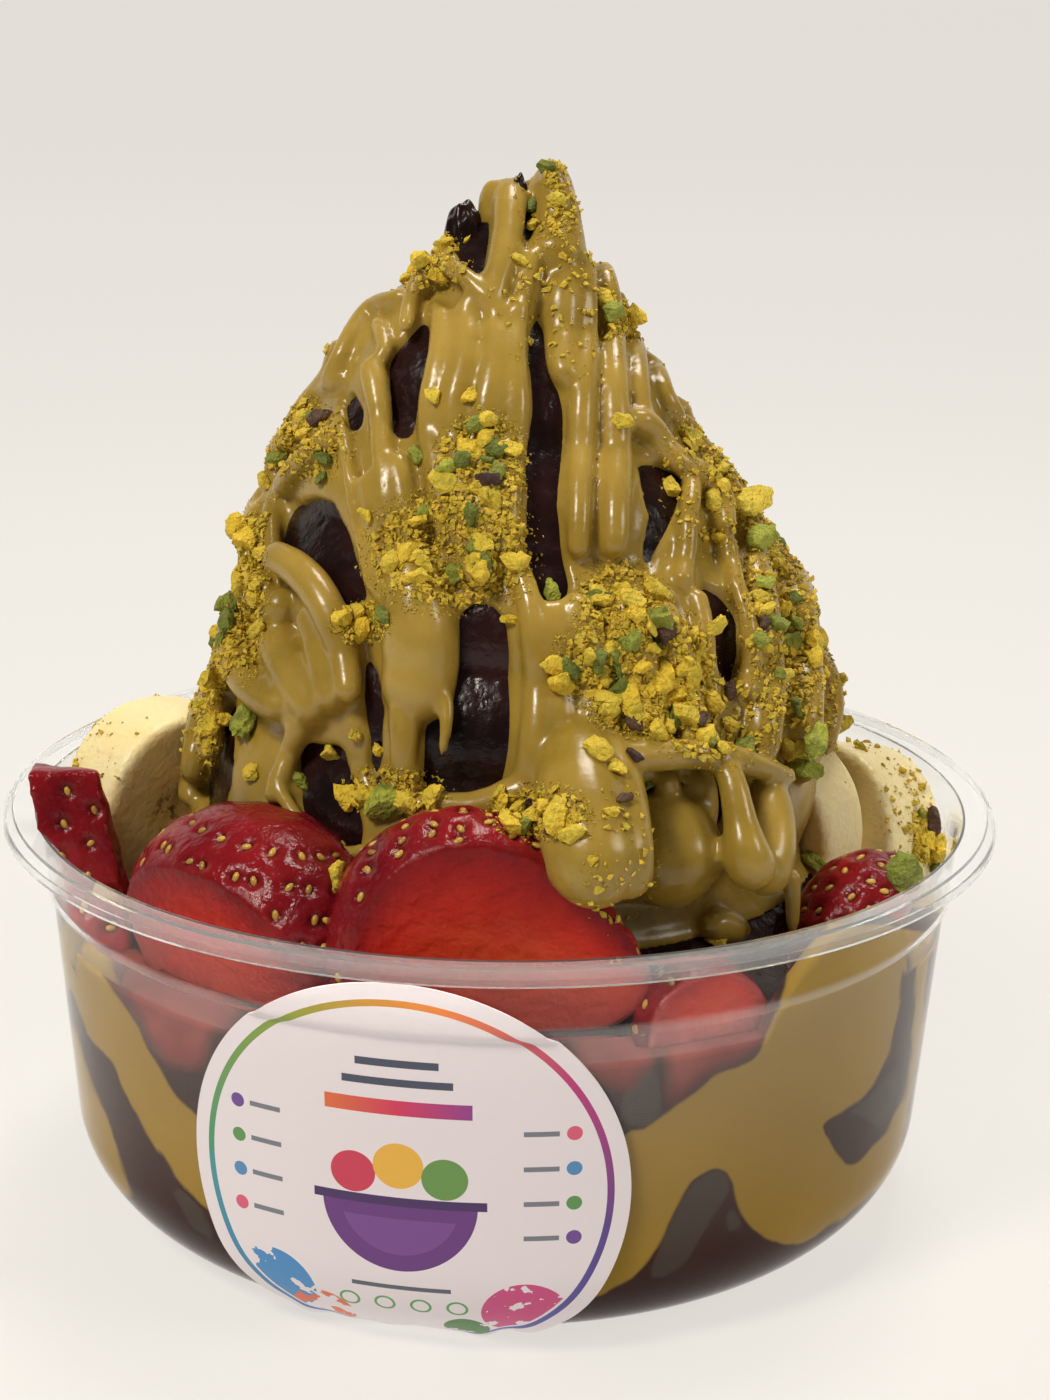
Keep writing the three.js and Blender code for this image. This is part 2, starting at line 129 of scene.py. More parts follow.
def seen_at(points):
    """The pixels where these points, in mm, are seen."""
    off = np.asarray(points) - EYE
    depth = off @ AHEAD
    across = np.stack([off @ RIGHTWARD, -(off @ UPWARD)], 1)
    return PHOTO_SIZE / 2 + FOCAL * across / depth[:, None]


# %% [markdown]
# Materials are written as sums. A small class wraps a node's output, so that 1 - mask adds the Math node, and
# any other node comes from one method.

# %% Shader helper
class Wire:
    """A node's output that Python's operators can work with."""

    def __init__(self, finish, socket):
        self.finish = finish
        self.socket = socket

    def sum(self, operation, first, second):
        return self.finish.node("ShaderNodeMath", {"operation": operation}, {0: first, 1: second})

    def __add__(self, other):
        return self.sum("ADD", self, other)

    def __radd__(self, other):
        return self.sum("ADD", other, self)

    def __sub__(self, other):
        return self.sum("SUBTRACT", self, other)

    def __rsub__(self, other):
        return self.sum("SUBTRACT", other, self)

    def __mul__(self, other):
        return self.sum("MULTIPLY", self, other)

    def __rmul__(self, other):
        return self.sum("MULTIPLY", other, self)

    def __truediv__(self, other):
        return self.sum("DIVIDE", self, other)

    def __gt__(self, other):
        return self.sum("GREATER_THAN", self, other)

    def __lt__(self, other):
        return self.sum("LESS_THAN", self, other)


class Finish:
    """A material under construction."""

    def __init__(self, name):
        self.material = bpy.data.materials.new(name)
        self.material.use_nodes = True
        self.tree = self.material.node_tree
        self.tree.nodes.clear()

    def node(self, kind, settings=None, inputs=None, output=0):
        made = self.tree.nodes.new(kind)
        for key, value in (settings or {}).items():
            if key == "stops":
                ramp = made.color_ramp.elements
                while len(ramp) < len(value):
                    ramp.new(0.5)
                for stop, (place, colour) in zip(ramp, value):
                    stop.position = place
                    stop.color = (*colour, 1)
            else:
                setattr(made, key, value)
        for key, value in (inputs or {}).items():
            if isinstance(value, Wire):
                self.tree.links.new(value.socket, made.inputs[key])
            else:
                made.inputs[key].default_value = value
        return Wire(self, made.outputs[output])

    def attribute(self, name):
        return self.node("ShaderNodeAttribute", {"attribute_name": name}, output="Fac")

    def place(self):
        return self.node("ShaderNodeTexCoord", output="Object")

    def noise(self, scale, detail=3.0):
        inputs = {"Vector": self.place(), "Scale": scale, "Detail": detail}
        return self.node("ShaderNodeTexNoise", inputs=inputs)

    def blend(self, share, first, second):
        colours = {0: share, 6: opaque(first), 7: opaque(second)}
        return self.node("ShaderNodeMix", {"data_type": "RGBA"}, colours, output=2)

    def step(self, value, low, high):
        ends = {"Value": value, "From Min": low, "From Max": high}
        return self.node("ShaderNodeMapRange", {"clamp": True}, ends)

    def bump(self, height, distance, strength=1.0):
        inputs = {"Height": height, "Distance": distance, "Strength": strength}
        return self.node("ShaderNodeBump", inputs=inputs)

    def surface(self, **inputs):
        names = {key.replace("_", " "): value for key, value in inputs.items()}
        return self.node("ShaderNodeBsdfPrincipled", inputs=names)

    def finish(self, shader):
        end = self.tree.nodes.new("ShaderNodeOutputMaterial")
        self.tree.links.new(shader.socket, end.inputs["Surface"])
        return self.material


def opaque(colour):
    return colour if isinstance(colour, Wire) else (*colour, 1)


def rgb(red, green, blue):
    """A colour as a screen shows it, 0 to 255, in the linear numbers that a shader takes."""
    linear = []
    for value in (red, green, blue):
        linear.append(((value / 255 + 0.055) / 1.055) ** 2.4 if value > 10 else value / 3295)
    return tuple(linear)


# %% [markdown]
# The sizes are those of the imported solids, in millimetres, so every fine piece follows its solid.

# %% Bowl sizes
RIM_RADIUS = 75
HEIGHT = 62
SHEET = 0.7
FOOT_OUTER = 49.5
FOOT_INNER = 44
KICK = 1.3
CORNER = 16
TAPER = math.radians(4.5)
STEP_HEIGHT = 50
STEP_OUT = 0.8
LIP = 2.4
FLANGE = 4.6


def wall_radius(height):
    """Radius of the wall's outer face between its corner and its step."""
    corner_top = CORNER * (1 - math.sin(TAPER))
    return FOOT_OUTER + CORNER * math.cos(TAPER) + (height - corner_top) * math.tan(TAPER)


def outer_line(corner_steps):
    """The bowl's outer line as rows of radius and height, from the middle of the base to the lip."""
    line = [(0, KICK), (FOOT_INNER - 1.2, KICK), (FOOT_INNER, 0), (FOOT_OUTER, 0)]
    for turn in np.linspace(-math.pi / 2, -TAPER, corner_steps + 1)[1:]:
        line.append((FOOT_OUTER + CORNER * math.cos(turn), CORNER * (1 + math.sin(turn))))
    line.append((wall_radius(STEP_HEIGHT - 0.5), STEP_HEIGHT - 0.5))
    band = wall_radius(STEP_HEIGHT) + STEP_OUT
    edge = RIM_RADIUS - SHEET
    line.append((band, STEP_HEIGHT + 0.5))
    line.append((band + 0.1, STEP_HEIGHT + 1.6))
    line.append((band + 0.4, HEIGHT - 3.4))
    line.append((RIM_RADIUS - FLANGE, HEIGHT - SHEET - 0.5))
    line.append((edge - 0.9, HEIGHT - SHEET))
    line.append((edge, HEIGHT - SHEET - 0.8))
    line.append((edge, HEIGHT - LIP))
    return np.array(line)


def inset(line, distance):
    """The line moved this far to its left, which is into the bowl."""
    before = np.vstack([line[:1], line[:-1]])
    after = np.vstack([line[1:], line[-1:]])
    along = (after - before) / np.linalg.norm(after - before, axis=1, keepdims=True)
    moved = line + distance * np.stack([-along[:, 1], along[:, 0]], 1)
    moved[line[:, 0] == 0, 0] = 0
    return moved


def polar(angle, radius, height):
    """Points at this angle in degrees, 0 at the front and 90 at the right."""
    turn = np.radians(angle)
    return np.stack(np.broadcast_arrays(radius * np.sin(turn), -radius * np.cos(turn), height), -1)


def angle_of(points):
    return np.degrees(np.arctan2(points[:, 0], -points[:, 1]))


# %% Making a piece from a primitive
def deselect():
    if bpy.context.object and bpy.context.object.mode != "OBJECT":
        bpy.ops.object.mode_set(mode="OBJECT")
    bpy.ops.object.select_all(action="DESELECT")


def select_only(piece):
    """Makes this piece the only one that is selected, and the active one."""
    deselect()
    piece.select_set(True)
    bpy.context.view_layer.objects.active = piece


def added(name, data):
    """A new piece for this data, selected."""
    piece = bpy.data.objects.new(name, data)
    bpy.context.scene.collection.objects.link(piece)
    select_only(piece)
    return piece


def named(piece, name):
    piece.name = name
    piece.data.name = name
    return piece


def points_of(piece):
    flat = np.zeros(len(piece.data.vertices) * 3)
    piece.data.vertices.foreach_get("co", flat)
    return flat.reshape(-1, 3)


def place_points(piece, points):
    """Puts a piece's points at these places in mm."""
    piece.data.vertices.foreach_set("co", (np.asarray(points) * MM).ravel())
    piece.data.update()


def primitive(name, operator, **sizes):
    deselect()
    operator(**sizes)
    return named(bpy.context.object, name)


def modify(piece, kind, **settings):
    select_only(piece)
    modifier = piece.modifiers.new(kind.title(), kind)
    for key, value in settings.items():
        setattr(modifier, key, value)
    bpy.ops.object.modifier_apply(modifier=modifier.name)


def joined(name, pieces):
    deselect()
    for piece in pieces:
        piece.select_set(True)
    bpy.context.view_layer.objects.active = pieces[0]
    bpy.ops.object.join()
    return named(pieces[0], name)


def outwards(piece):
    """Merges doubled points and turns every face out."""
    select_only(piece)
    bpy.ops.object.mode_set(mode="EDIT")
    bpy.ops.mesh.select_all(action="SELECT")
    bpy.ops.mesh.remove_doubles(threshold=0.02 * MM)
    bpy.ops.mesh.normals_make_consistent(inside=False)
    bpy.ops.object.mode_set(mode="OBJECT")


def smooth(piece, degrees=180):
    select_only(piece)
    bpy.ops.object.shade_smooth_by_angle(angle=math.radians(degrees))


def on_sphere(points):
    """Where a sphere's points are: 0 at its lower pole to 1 at its upper, and the angle round it."""
    latitude = 0.5 + np.arcsin(np.clip(points[:, 2], -1, 1)) / np.pi
    return latitude, angle_of(points)


def paint(piece, name, values):
    """Keeps one number for each point of the piece, for its material to read."""
    kept = piece.data.attributes.new(name, "FLOAT", "POINT")
    kept.data.foreach_set("value", np.asarray(values, np.float32))


def finished(piece, look, slot, *nodes):
    """Gives the piece its material and body, and hides the model's nodes that it stands for. The slot is not
    used.
    """
    piece.data.materials.clear()
    piece.data.materials.append(look)
    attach(piece, "root")
    if nodes:
        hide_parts(*nodes)
    piece.data.calc_loop_triangles()
    print(piece.name, len(piece.data.loop_triangles), "triangles")


# %% [markdown]
# The swirl is a full cone with the ridge of a coil winding up it, and it sways as it rises. The same formula
# serves the acai, the sauce on it and the lines of sight, so all of them agree.

# %% The swirl's form
BASE_RADIUS = 45
BASE_HEIGHT = 60
TIP = 153
FULLNESS = 1.75
COIL = 15
RIDGE = 1.8
SWAY = 2.6
TIP_X = 4
SHELF = (54.0, 48.0)
SPREAD_BELOW = 54
SPREAD_OVER = 6
FILL_LEVEL = 45.0


def lean(height):
    share = np.clip((height - BASE_HEIGHT) / (TIP - BASE_HEIGHT), 0, 1)
    return SWAY * np.sin(2 * np.pi * share) + TIP_X * share**8


def core_radius(angle, height):
    share = np.clip((height - BASE_HEIGHT) / (TIP - BASE_HEIGHT), 0, 1)
    cone = BASE_RADIUS * (1 - share**FULLNESS)
    coil = np.abs(np.sin(np.pi * (height / COIL + angle / 360)))
    spread = np.clip((SPREAD_BELOW - height) / SPREAD_OVER, 0, 1) * (SHELF[0] - BASE_RADIUS)
    return cone + RIDGE * coil * np.minimum(1, cone / 12) + spread


def height_off(points):
    """How far points stand off the bare swirl, measured level, and above its tip from the tip."""
    x = points[..., 0] - lean(points[..., 2])
    level = np.hypot(x, points[..., 1])
    angle = np.degrees(np.arctan2(x, -points[..., 1]))
    above = np.maximum(points[..., 2] - TIP, 0)
    return np.hypot(level, above) - core_radius(angle, points[..., 2]) * (above == 0)


def out_of_swirl(points):
    """The way straight out of the swirl at these points."""
    nudge = 0.4
    ways = []
    for axis in np.eye(3) * nudge:
        ways.append(height_off(points + axis) - height_off(points - axis))
    ways = np.stack(ways, -1)
    return ways / np.maximum(np.linalg.norm(ways, axis=-1, keepdims=True), 1e-9)


def land(pixels, lift):
    """Where lines of sight meet a skin this far off the swirl, or pass nearest to it."""
    ways = sight(pixels)
    reach = np.linspace(270, 450, 721)
    points = EYE + ways[:, None, :] * reach[None, :, None]
    gap = height_off(points) - np.asarray(lift).reshape(-1, 1)
    met = gap < 0
    first = np.where(met.any(1), met.argmax(1), gap.argmin(1))
    return points[np.arange(len(points)), first]


print("the swirl is", round(float(core_radius(0, 80)), 1), "mm in radius at 80 mm high")

# %% [markdown]
# The acai fills the bowl against the wall, has a shallow moat round the swirl, and rises to the tip. A
# sphere has a pole at each end and rings between, which is what such a body needs, so a sphere is added and
# each ring is moved to its place on the body's profile. Two lumps at the tip join it.
# The acai reaches a little into the clear wall. With a gap there, the wall would show a bright film of air.

# %% The fruit's sizes
BERRIES = {
    "strawberry_front": {
        "middle": (-1, -55, 56.5),
        "shoulder": (-1, 0, 0.25),
        "size": (45, 38, 26),
        "cuts": [((0.14, -1, -0.12), 4.8)],
    },
    "strawberry_front_left": {
        "middle": (-34, -42, 50.5),
        "shoulder": (0.12, 0.1, 1),
        "size": (42, 42, 30),
        "cuts": [((-0.63, -0.72, -0.3), 6)],
    },
    "strawberry_left": {
        "middle": (-59.5, -24, 55),
        "shoulder": (-0.42, 0.2, 0.87),
        "size": (44, 26, 22),
        "cuts": [
            ((0.0, 0.05, 1), 15),
            ((-0.974, 0, -0.224), 5.2),
            ((0.974, 0, 0.224), 4.6),
            ((0.12, -0.95, 0.3), 2.4),
            ((0.25, 0.9, 0), 4.6),
        ],
        "skin_cut": 3,
    },
    "strawberry_right_inside": {
        "middle": (26.5, -54.5, 43.5),
        "shoulder": (0.3, 0.2, 1),
        "size": (24, 20, 17),
        "cuts": [((0.42, -0.9, 0), 3.2)],
    },
    "strawberry_right": {
        "middle": (50, -30.5, 50.5),
        "shoulder": (0.6, 0.5, 0.45),
        "size": (28, 22, 18),
        "cuts": [((0.75, -0.1, -0.6), 3)],
    },
}


def unit(way):
    way = np.array(way, float)
    return way / np.linalg.norm(way)


def berry_axes(berry):
    """The berry's sideways, front-to-back and lengthways directions."""
    up = unit(berry["shoulder"])
    side = unit(np.cross(up, unit(berry["cuts"][0][0])))
    return np.array([side, np.cross(up, side), up])


def berry_width(share, width):
    """A berry's radius at a share of the way from its shoulder to its tip."""
    return width / 2 * np.sin(np.pi * np.clip(share, 0, 1) ** 0.72).clip(0) ** 0.72


def berry_reach(berry, points):
    """Where points are in a berry: 0 on its axis, 1 on its skin, and the depth under each cut in mm."""
    length, width, depth = berry["size"]
    local = (points - np.array(berry["middle"], float)) @ berry_axes(berry).T
    share = 0.5 - local[:, 2] / length
    radius = berry_width(share, width)
    level = np.hypot(local[:, 0], local[:, 1] * width / depth)
    from_middle = points - np.array(berry["middle"], float)
    under = [distance - from_middle @ unit(way) for way, distance in berry["cuts"]]
    return level / np.maximum(radius, 1e-3), np.array(under)


def in_a_berry(points):
    inside = np.zeros(len(points), bool)
    for berry in BERRIES.values():
        reach, under = berry_reach(berry, points)
        inside |= (reach < 1) & (under.min(0) > 0)
    return inside


# %% The acai
ACAI_AROUND = 256
ACAI_RINGS = 216
SMEAR_TOP = 59.2
SMEAR_AT = 46
SMEAR_HALF = 13
INTO_WALL = 0.2
SINKINGS = 60  # steps by which the acai gives way under a berry
SINK_STEP = 0.6


def smear(angle):
    away = np.abs(angle - SMEAR_AT) / SMEAR_HALF
    return np.where(away < 1, np.cos(np.minimum(away, 1) * np.pi / 2).clip(0) ** 0.5, 0)


def along_line(line, spots):
    """Points at these distances along a line, as shares of its length."""
    steps = np.linalg.norm(np.diff(line, axis=0), axis=1)
    reached = np.concatenate([[0], np.cumsum(steps)]) / steps.sum()
    return np.stack([np.interp(spots, reached, line[:, 0]), np.interp(spots, reached, line[:, 1])], 1)


acai = primitive("acai", bpy.ops.mesh.primitive_uv_sphere_add, segments=ACAI_AROUND, ring_count=ACAI_RINGS)
latitude, angles = on_sphere(points_of(acai))
inner_wall = inset(outer_line(16), SHEET - INTO_WALL)
inner_wall = inner_wall[inner_wall[:, 1] < 40]
body = np.zeros((len(angles), 3))
for angle in np.unique(np.round(angles, 3)):
    column = np.abs(angles - angle) < 0.002
    top = FILL_LEVEL + 0.6 + (SMEAR_TOP - FILL_LEVEL - 0.6) * float(smear(angle))
    edge = wall_radius(top) - SHEET + INTO_WALL
    heights = np.linspace(SPREAD_BELOW, TIP - 0.3, 100)
    tower = np.stack([core_radius(angle, heights), heights], 1)
    over = [(edge, top), (edge - 2.4, top), (wall_radius(FILL_LEVEL) - 4.4, FILL_LEVEL), SHELF]
    line = np.vstack([inner_wall, over, tower, [(0, TIP)]])
    spot = along_line(line, latitude[column])
    body[column] = polar(angle, spot[:, 0], spot[:, 1])
body[:, 0] += lean(body[:, 2])
for _ in range(SINKINGS):
    sunk = in_a_berry(body) & (body[:, 2] > 12)
    body[sunk, 2] -= SINK_STEP
place_points(acai, body)
outwards(acai)
# Two lumps of acai at the tip that the sauce leaves bare: the middle and the half sizes.
LUMPS = [((1.25, -1.3, 148.0), (1.7, 2.7, 5.8)), ((-6.4, -0.8, 143.4), (3.1, 3.2, 6.4))]
lumps = []
for middle, half_sizes in LUMPS:
    lump = primitive("lump", bpy.ops.mesh.primitive_uv_sphere_add, segments=48, ring_count=32)
    ball = points_of(lump)
    uneven = 1 + 0.07 * np.sin(ball * 7 + (0, 1, 2)).prod(1) + 0.05 * np.sin(ball * 13).sum(1) / 3
    place_points(lump, ball * uneven[:, None] * half_sizes + middle)
    lumps.append(lump)
acai = joined("acai", [acai, *lumps])
smooth(acai)
print("acai reaches", np.abs(body).max(0).round(1), "mm")

# %% [markdown]
# The sauce leaves windows through which the dark acai shows. Each window is a corner-by-corner outline in the
# photograph, and the sauce's base layer sinks under the acai inside it. On the hidden sides the windows are
# ovals placed by a rule, about as many and as large as in front.

# %% Windows in the sauce
WINDOWS = {
    "nub": [(456, 190), (486, 190), (490, 240), (484, 281), (462, 279), (452, 240)],
    "tip": [
        (519, 160), (547, 160), (548, 217), (537, 233), (529, 262), (521, 292), (503, 293), (508, 262),
        (518, 235),
    ],
    "ribbon": [
        (538, 282), (546, 282), (552, 330), (558, 376), (561, 411), (560, 457), (562, 549), (569, 607),
        (537, 607), (525, 549), (525, 457), (533, 411), (527, 360),
    ],
    "shoulder": [(387, 357), (427, 315), (431, 336), (429, 364), (413, 440), (394, 440)],
    "slit": [(344, 404), (358, 390), (365, 414), (363, 435), (350, 432)],
    "slim": [(666, 392), (684, 400), (684, 428), (668, 425)],
    "left": [
        (285, 526), (296, 503), (322, 496), (340, 503), (349, 529), (356, 561), (371, 600), (338, 620),
        (319, 591), (301, 570), (276, 554),
    ],
    "middle": [
        (464, 611), (478, 604), (496, 607), (508, 632), (508, 700), (504, 795), (440, 795), (452, 740),
        (450, 670),
    ],
    "foot": [(424, 722), (446, 700), (444, 762), (442, 795), (424, 795)],
    "gap": [(362, 640), (376, 650), (385, 726), (384, 790), (373, 790), (370, 725)],
    "hole": [(645, 651), (668, 653), (667, 672), (646, 671)],
    "right": [
        (635, 464), (661, 467), (684, 476), (681, 492), (661, 542), (649, 579), (638, 577), (640, 547),
        (649, 519),
    ],
    "far_right": [(700, 588), (720, 600), (736, 620), (739, 652), (730, 691), (713, 675), (711, 630)],
    "left_low": [
        (240, 668), (246, 690), (236, 760), (224, 820), (208, 815), (210, 760), (218, 700), (228, 672),
    ],
    "front_low": [(303, 744), (348, 744), (362, 800), (362, 852), (338, 856), (300, 815)],
    "hollow": [(645, 782), (662, 776), (722, 778), (725, 812), (714, 834), (646, 826)],
    "under": [(756, 908), (790, 906), (788, 936), (758, 936)],
}


def away_from(outline, pixels):
    """Each pixel's distance to an outline, less than 0 inside it."""
    corners = np.array(outline, float)
    ends = np.roll(corners, -1, axis=0)
    nearest = np.full(len(pixels), 1e9)
    crossings = np.zeros(len(pixels), int)
    for (ax, ay), (bx, by) in zip(corners, ends):
        side = np.array([bx - ax, by - ay])
        share = np.clip(((pixels - (ax, ay)) @ side) / side.dot(side), 0, 1)
        nearest = np.minimum(nearest, np.linalg.norm(pixels - (ax, ay) - share[:, None] * side, axis=1))
        level = (ay > pixels[:, 1]) != (by > pixels[:, 1])
        rise = (by - ay) if by != ay else 1
        crossings += level & (pixels[:, 0] < (bx - ax) * (pixels[:, 1] - ay) / rise + ax)
    return np.where(crossings % 2 == 1, -nearest, nearest)


HIDDEN_WINDOWS = []
draw = random.Random(11)
for k in range(11):
    middle = 100 + 15 * k + draw.uniform(-4, 4)
    HIDDEN_WINDOWS.append((middle, draw.uniform(66, 122), draw.uniform(5, 9), draw.uniform(9, 17)))


def openness(points):
    """Above 0 where the sauce is open, as mm inside a window's edge."""
    facing = (out_of_swirl(points) @ -AHEAD) > 0.05
    pixels = seen_at(points)
    nearest = np.full(len(points), 1e9)
    for outline in WINDOWS.values():
        ragged = 2.0 * np.sin(pixels @ (0.03, 0.045)) + 1.6 * np.sin(pixels @ (0.08, -0.034))
        nearest = np.minimum(nearest, (away_from(outline, pixels) + ragged) * PIXEL)
    opened = np.where(facing, -nearest, -9.0)
    x = points[:, 0] - lean(points[:, 2])
    angle = np.degrees(np.arctan2(x, -points[:, 1])) % 360
    arc = np.maximum(core_radius(angle, points[:, 2]), 4) * np.pi / 180
    for middle, height, half_wide, half_high in HIDDEN_WINDOWS:
        across = (angle - middle) * arc / half_wide
        share = np.hypot(across, (points[:, 2] - height) / half_high)
        opened = np.maximum(opened, np.where(facing, -9.0, (1 - share) * half_wide))
    return opened


# %% [markdown]
# The sauce is thick, so it runs in strands with round backs that meet in furrows. Drawn by hand this would be
# curves with a bevel, and here each strand is one spline. Its points are pixels with a half width, and each
# lands on the swirl. All of them, with a base layer, are then one skin by a voxel remesh and a light smooth,
# which rounds the places where they meet as a liquid's surface would.

# %% Strands of sauce
# Each strand: how far it stands off the swirl in mm, and its points as pixel x, pixel y and half width.
STRANDS = {
    "tip_left": (4.2, [
        (503, 172, 10), (506, 186, 17), (508, 204, 17), (507, 229, 16), (503, 255, 16), (497, 278, 14),
        (492, 308, 10),
    ]),
    "tip_right": (5.0, [
        (550, 163, 10), (556, 184, 14), (565, 206, 21), (568, 228, 26), (567, 250, 34), (558, 268, 32),
    ]),
    "tip_curl": (3.0, [(538, 246, 9), (530, 266, 9), (525, 290, 8), (518, 316, 8)]),
    "right_first": (3.6, [
        (576, 262, 16), (570, 290, 21), (568, 325, 20), (566, 352, 18), (568, 385, 13),
    ]),
    "groove_1": (3.6, [
        (586, 256, 13), (588, 300, 13), (588, 350, 13), (584, 400, 14), (581, 470, 13), (578, 560, 11),
    ]),
    "groove_2": (3.9, [
        (602, 258, 11), (613, 300, 13), (616, 350, 13), (618, 400, 16), (619, 470, 17), (616, 560, 14),
    ]),
    "groove_3": (3.6, [(620, 285, 9), (633, 312, 12), (638, 350, 12), (642, 395, 12), (648, 440, 9)]),
    "groove_4": (3.4, [(632, 298, 8), (650, 325, 11), (657, 360, 12), (668, 395, 13), (684, 424, 12)]),
    "arch": (4.6, [
        (405, 335, 9), (412, 302, 9), (424, 277, 10), (443, 266, 10), (464, 276, 10), (482, 293, 10),
        (497, 308, 10),
    ]),
    "arch_inner": (3.0, [(431, 300, 8), (448, 329, 9), (462, 356, 9)]),
    "arch_left": (3.6, [
        (324, 388, 9), (336, 362, 11), (354, 326, 11), (372, 305, 11), (396, 298, 11), (410, 292, 10),
    ]),
    "arch_leg": (3.0, [(375, 315, 9), (383, 340, 9), (384, 362, 9)]),
    "ridge_left": (3.0, [(298, 412, 10), (318, 394, 12), (340, 376, 10)]),
    "knot": (3.8, [(368, 355, 11), (370, 373, 15), (378, 411, 13), (382, 470, 11), (386, 524, 9)]),
    "front_1": (3.6, [
        (442, 305, 12), (440, 352, 14), (429, 411, 14), (436, 470, 14), (446, 530, 12), (452, 572, 9),
    ]),
    "front_2": (4.2, [
        (468, 292, 13), (466, 352, 16), (453, 411, 18), (460, 470, 18), (468, 530, 15), (471, 585, 9),
    ]),
    "front_3": (4.4, [
        (497, 298, 14), (496, 352, 16), (487, 411, 19), (488, 470, 18), (488, 530, 14), (487, 586, 8),
    ]),
    "front_4": (4.2, [
        (520, 296, 11), (514, 345, 13), (516, 400, 15), (512, 460, 15), (508, 520, 13), (514, 560, 11),
    ]),
    "front_foot": (4.4, [
        (514, 556, 11), (528, 595, 13), (536, 641, 16), (540, 700, 18), (536, 760, 20), (528, 800, 18),
    ]),
    "front_foot_2": (4.0, [(552, 600, 12), (556, 650, 14), (560, 710, 16), (566, 770, 18)]),
    "thin": (3.2, [(338, 414, 7), (347, 457, 7), (356, 515, 7), (374, 594, 8)]),
    "loop_top": (3.6, [
        (340, 428, 11), (310, 450, 12), (285, 476, 12), (270, 510, 12), (268, 542, 12), (272, 560, 12),
    ]),
    "fold_outer": (5.4, [
        (266, 552, 16), (292, 566, 18), (314, 590, 19), (332, 626, 18), (344, 664, 16), (350, 704, 13),
    ]),
    "fold_inner": (5.0, [
        (262, 578, 18), (238, 610, 18), (228, 645, 17), (238, 676, 18), (260, 698, 18), (286, 712, 16),
    ]),
    "fold_middle": (4.4, [
        (276, 590, 20), (268, 630, 22), (282, 664, 24), (300, 694, 26), (318, 724, 27),
    ]),
    "fold_crease": (4.6, [(302, 606, 12), (314, 640, 16), (326, 680, 18), (330, 712, 17)]),
    "fold_left": (3.8, [(292, 712, 13), (296, 730, 13), (284, 764, 12), (270, 806, 11)]),
    "between": (3.6, [(394, 450, 14), (402, 500, 16), (408, 550, 18), (404, 600, 22)]),
    "between_left": (3.4, [(366, 470, 10), (376, 530, 12), (382, 586, 12), (380, 606, 9)]),
    "bulb": (6.4, [
        (408, 540, 18), (410, 580, 30), (411, 620, 38), (412, 660, 40), (413, 694, 36), (413, 716, 28),
    ]),
    "bulb_foot": (3.8, [(402, 690, 17), (402, 740, 16), (404, 800, 14)]),
    "spike": (3.4, [(444, 690, 10), (447, 720, 8), (442, 756, 5)]),
    "arch_right": (4.6, [
        (630, 418, 12), (650, 424, 14), (674, 455, 14), (707, 476, 13), (723, 498, 12), (727, 535, 11),
    ]),
    "arch_right_leg": (4.2, [
        (727, 535, 11), (733, 574, 10), (744, 610, 9), (752, 650, 12), (750, 700, 13),
    ]),
    "inner_right": (3.6, [(695, 476, 11), (690, 515, 11), (688, 549, 11), (682, 588, 12)]),
    "inner_right_2": (3.4, [(696, 588, 11), (704, 618, 10), (708, 660, 11), (714, 705, 12)]),
    "cluster_1": (4.6, [(572, 590, 16), (586, 640, 22), (596, 690, 26), (602, 745, 26)]),
    "cluster_2": (5.2, [(622, 586, 14), (634, 640, 22), (644, 700, 26), (652, 748, 22)]),
    "cluster_3": (4.6, [(662, 600, 13), (678, 645, 16), (688, 700, 20), (700, 750, 18)]),
    "side_1": (4.6, [(748, 500, 13), (758, 560, 19), (770, 630, 23), (772, 700, 23), (766, 765, 20)]),
    "side_2": (4.8, [(776, 508, 12), (796, 560, 18), (808, 630, 21), (812, 700, 21), (808, 780, 18)]),
    "side_3": (4.4, [(800, 520, 10), (824, 580, 13), (836, 640, 14), (836, 700, 13), (828, 755, 11)]),
    "edge_left_1": (4.4, [
        (262, 480, 11), (250, 530, 12), (244, 590, 12), (226, 640, 12), (212, 690, 14), (204, 760, 15),
    ]),
    "edge_left_2": (4.0, [(204, 690, 12), (192, 740, 14), (186, 800, 14)]),
    "edge_left_3": (4.2, [(298, 424, 11), (274, 452, 12), (262, 490, 11)]),
    "string": (3.6, [(270, 770, 8), (290, 806, 8), (312, 834, 8), (340, 852, 8), (376, 850, 9)]),
    "apron": (5.2, [
        (400, 806, 12), (436, 806, 14), (474, 806, 16), (512, 798, 20), (560, 788, 24), (604, 786, 26),
    ]),
    "hood": (6.4, [
        (548, 762, 14), (600, 758, 17), (646, 756, 17), (686, 754, 16), (724, 757, 16), (790, 776, 9),
    ]),
    "in_hollow_1": (3.0, [(668, 770, 12), (671, 800, 13), (671, 828, 12)]),
    "in_hollow_2": (3.6, [(702, 772, 16), (706, 804, 19), (704, 834, 18)]),
    "bump": (4.4, [(704, 930, 12), (726, 924, 18), (752, 930, 14)]),
}
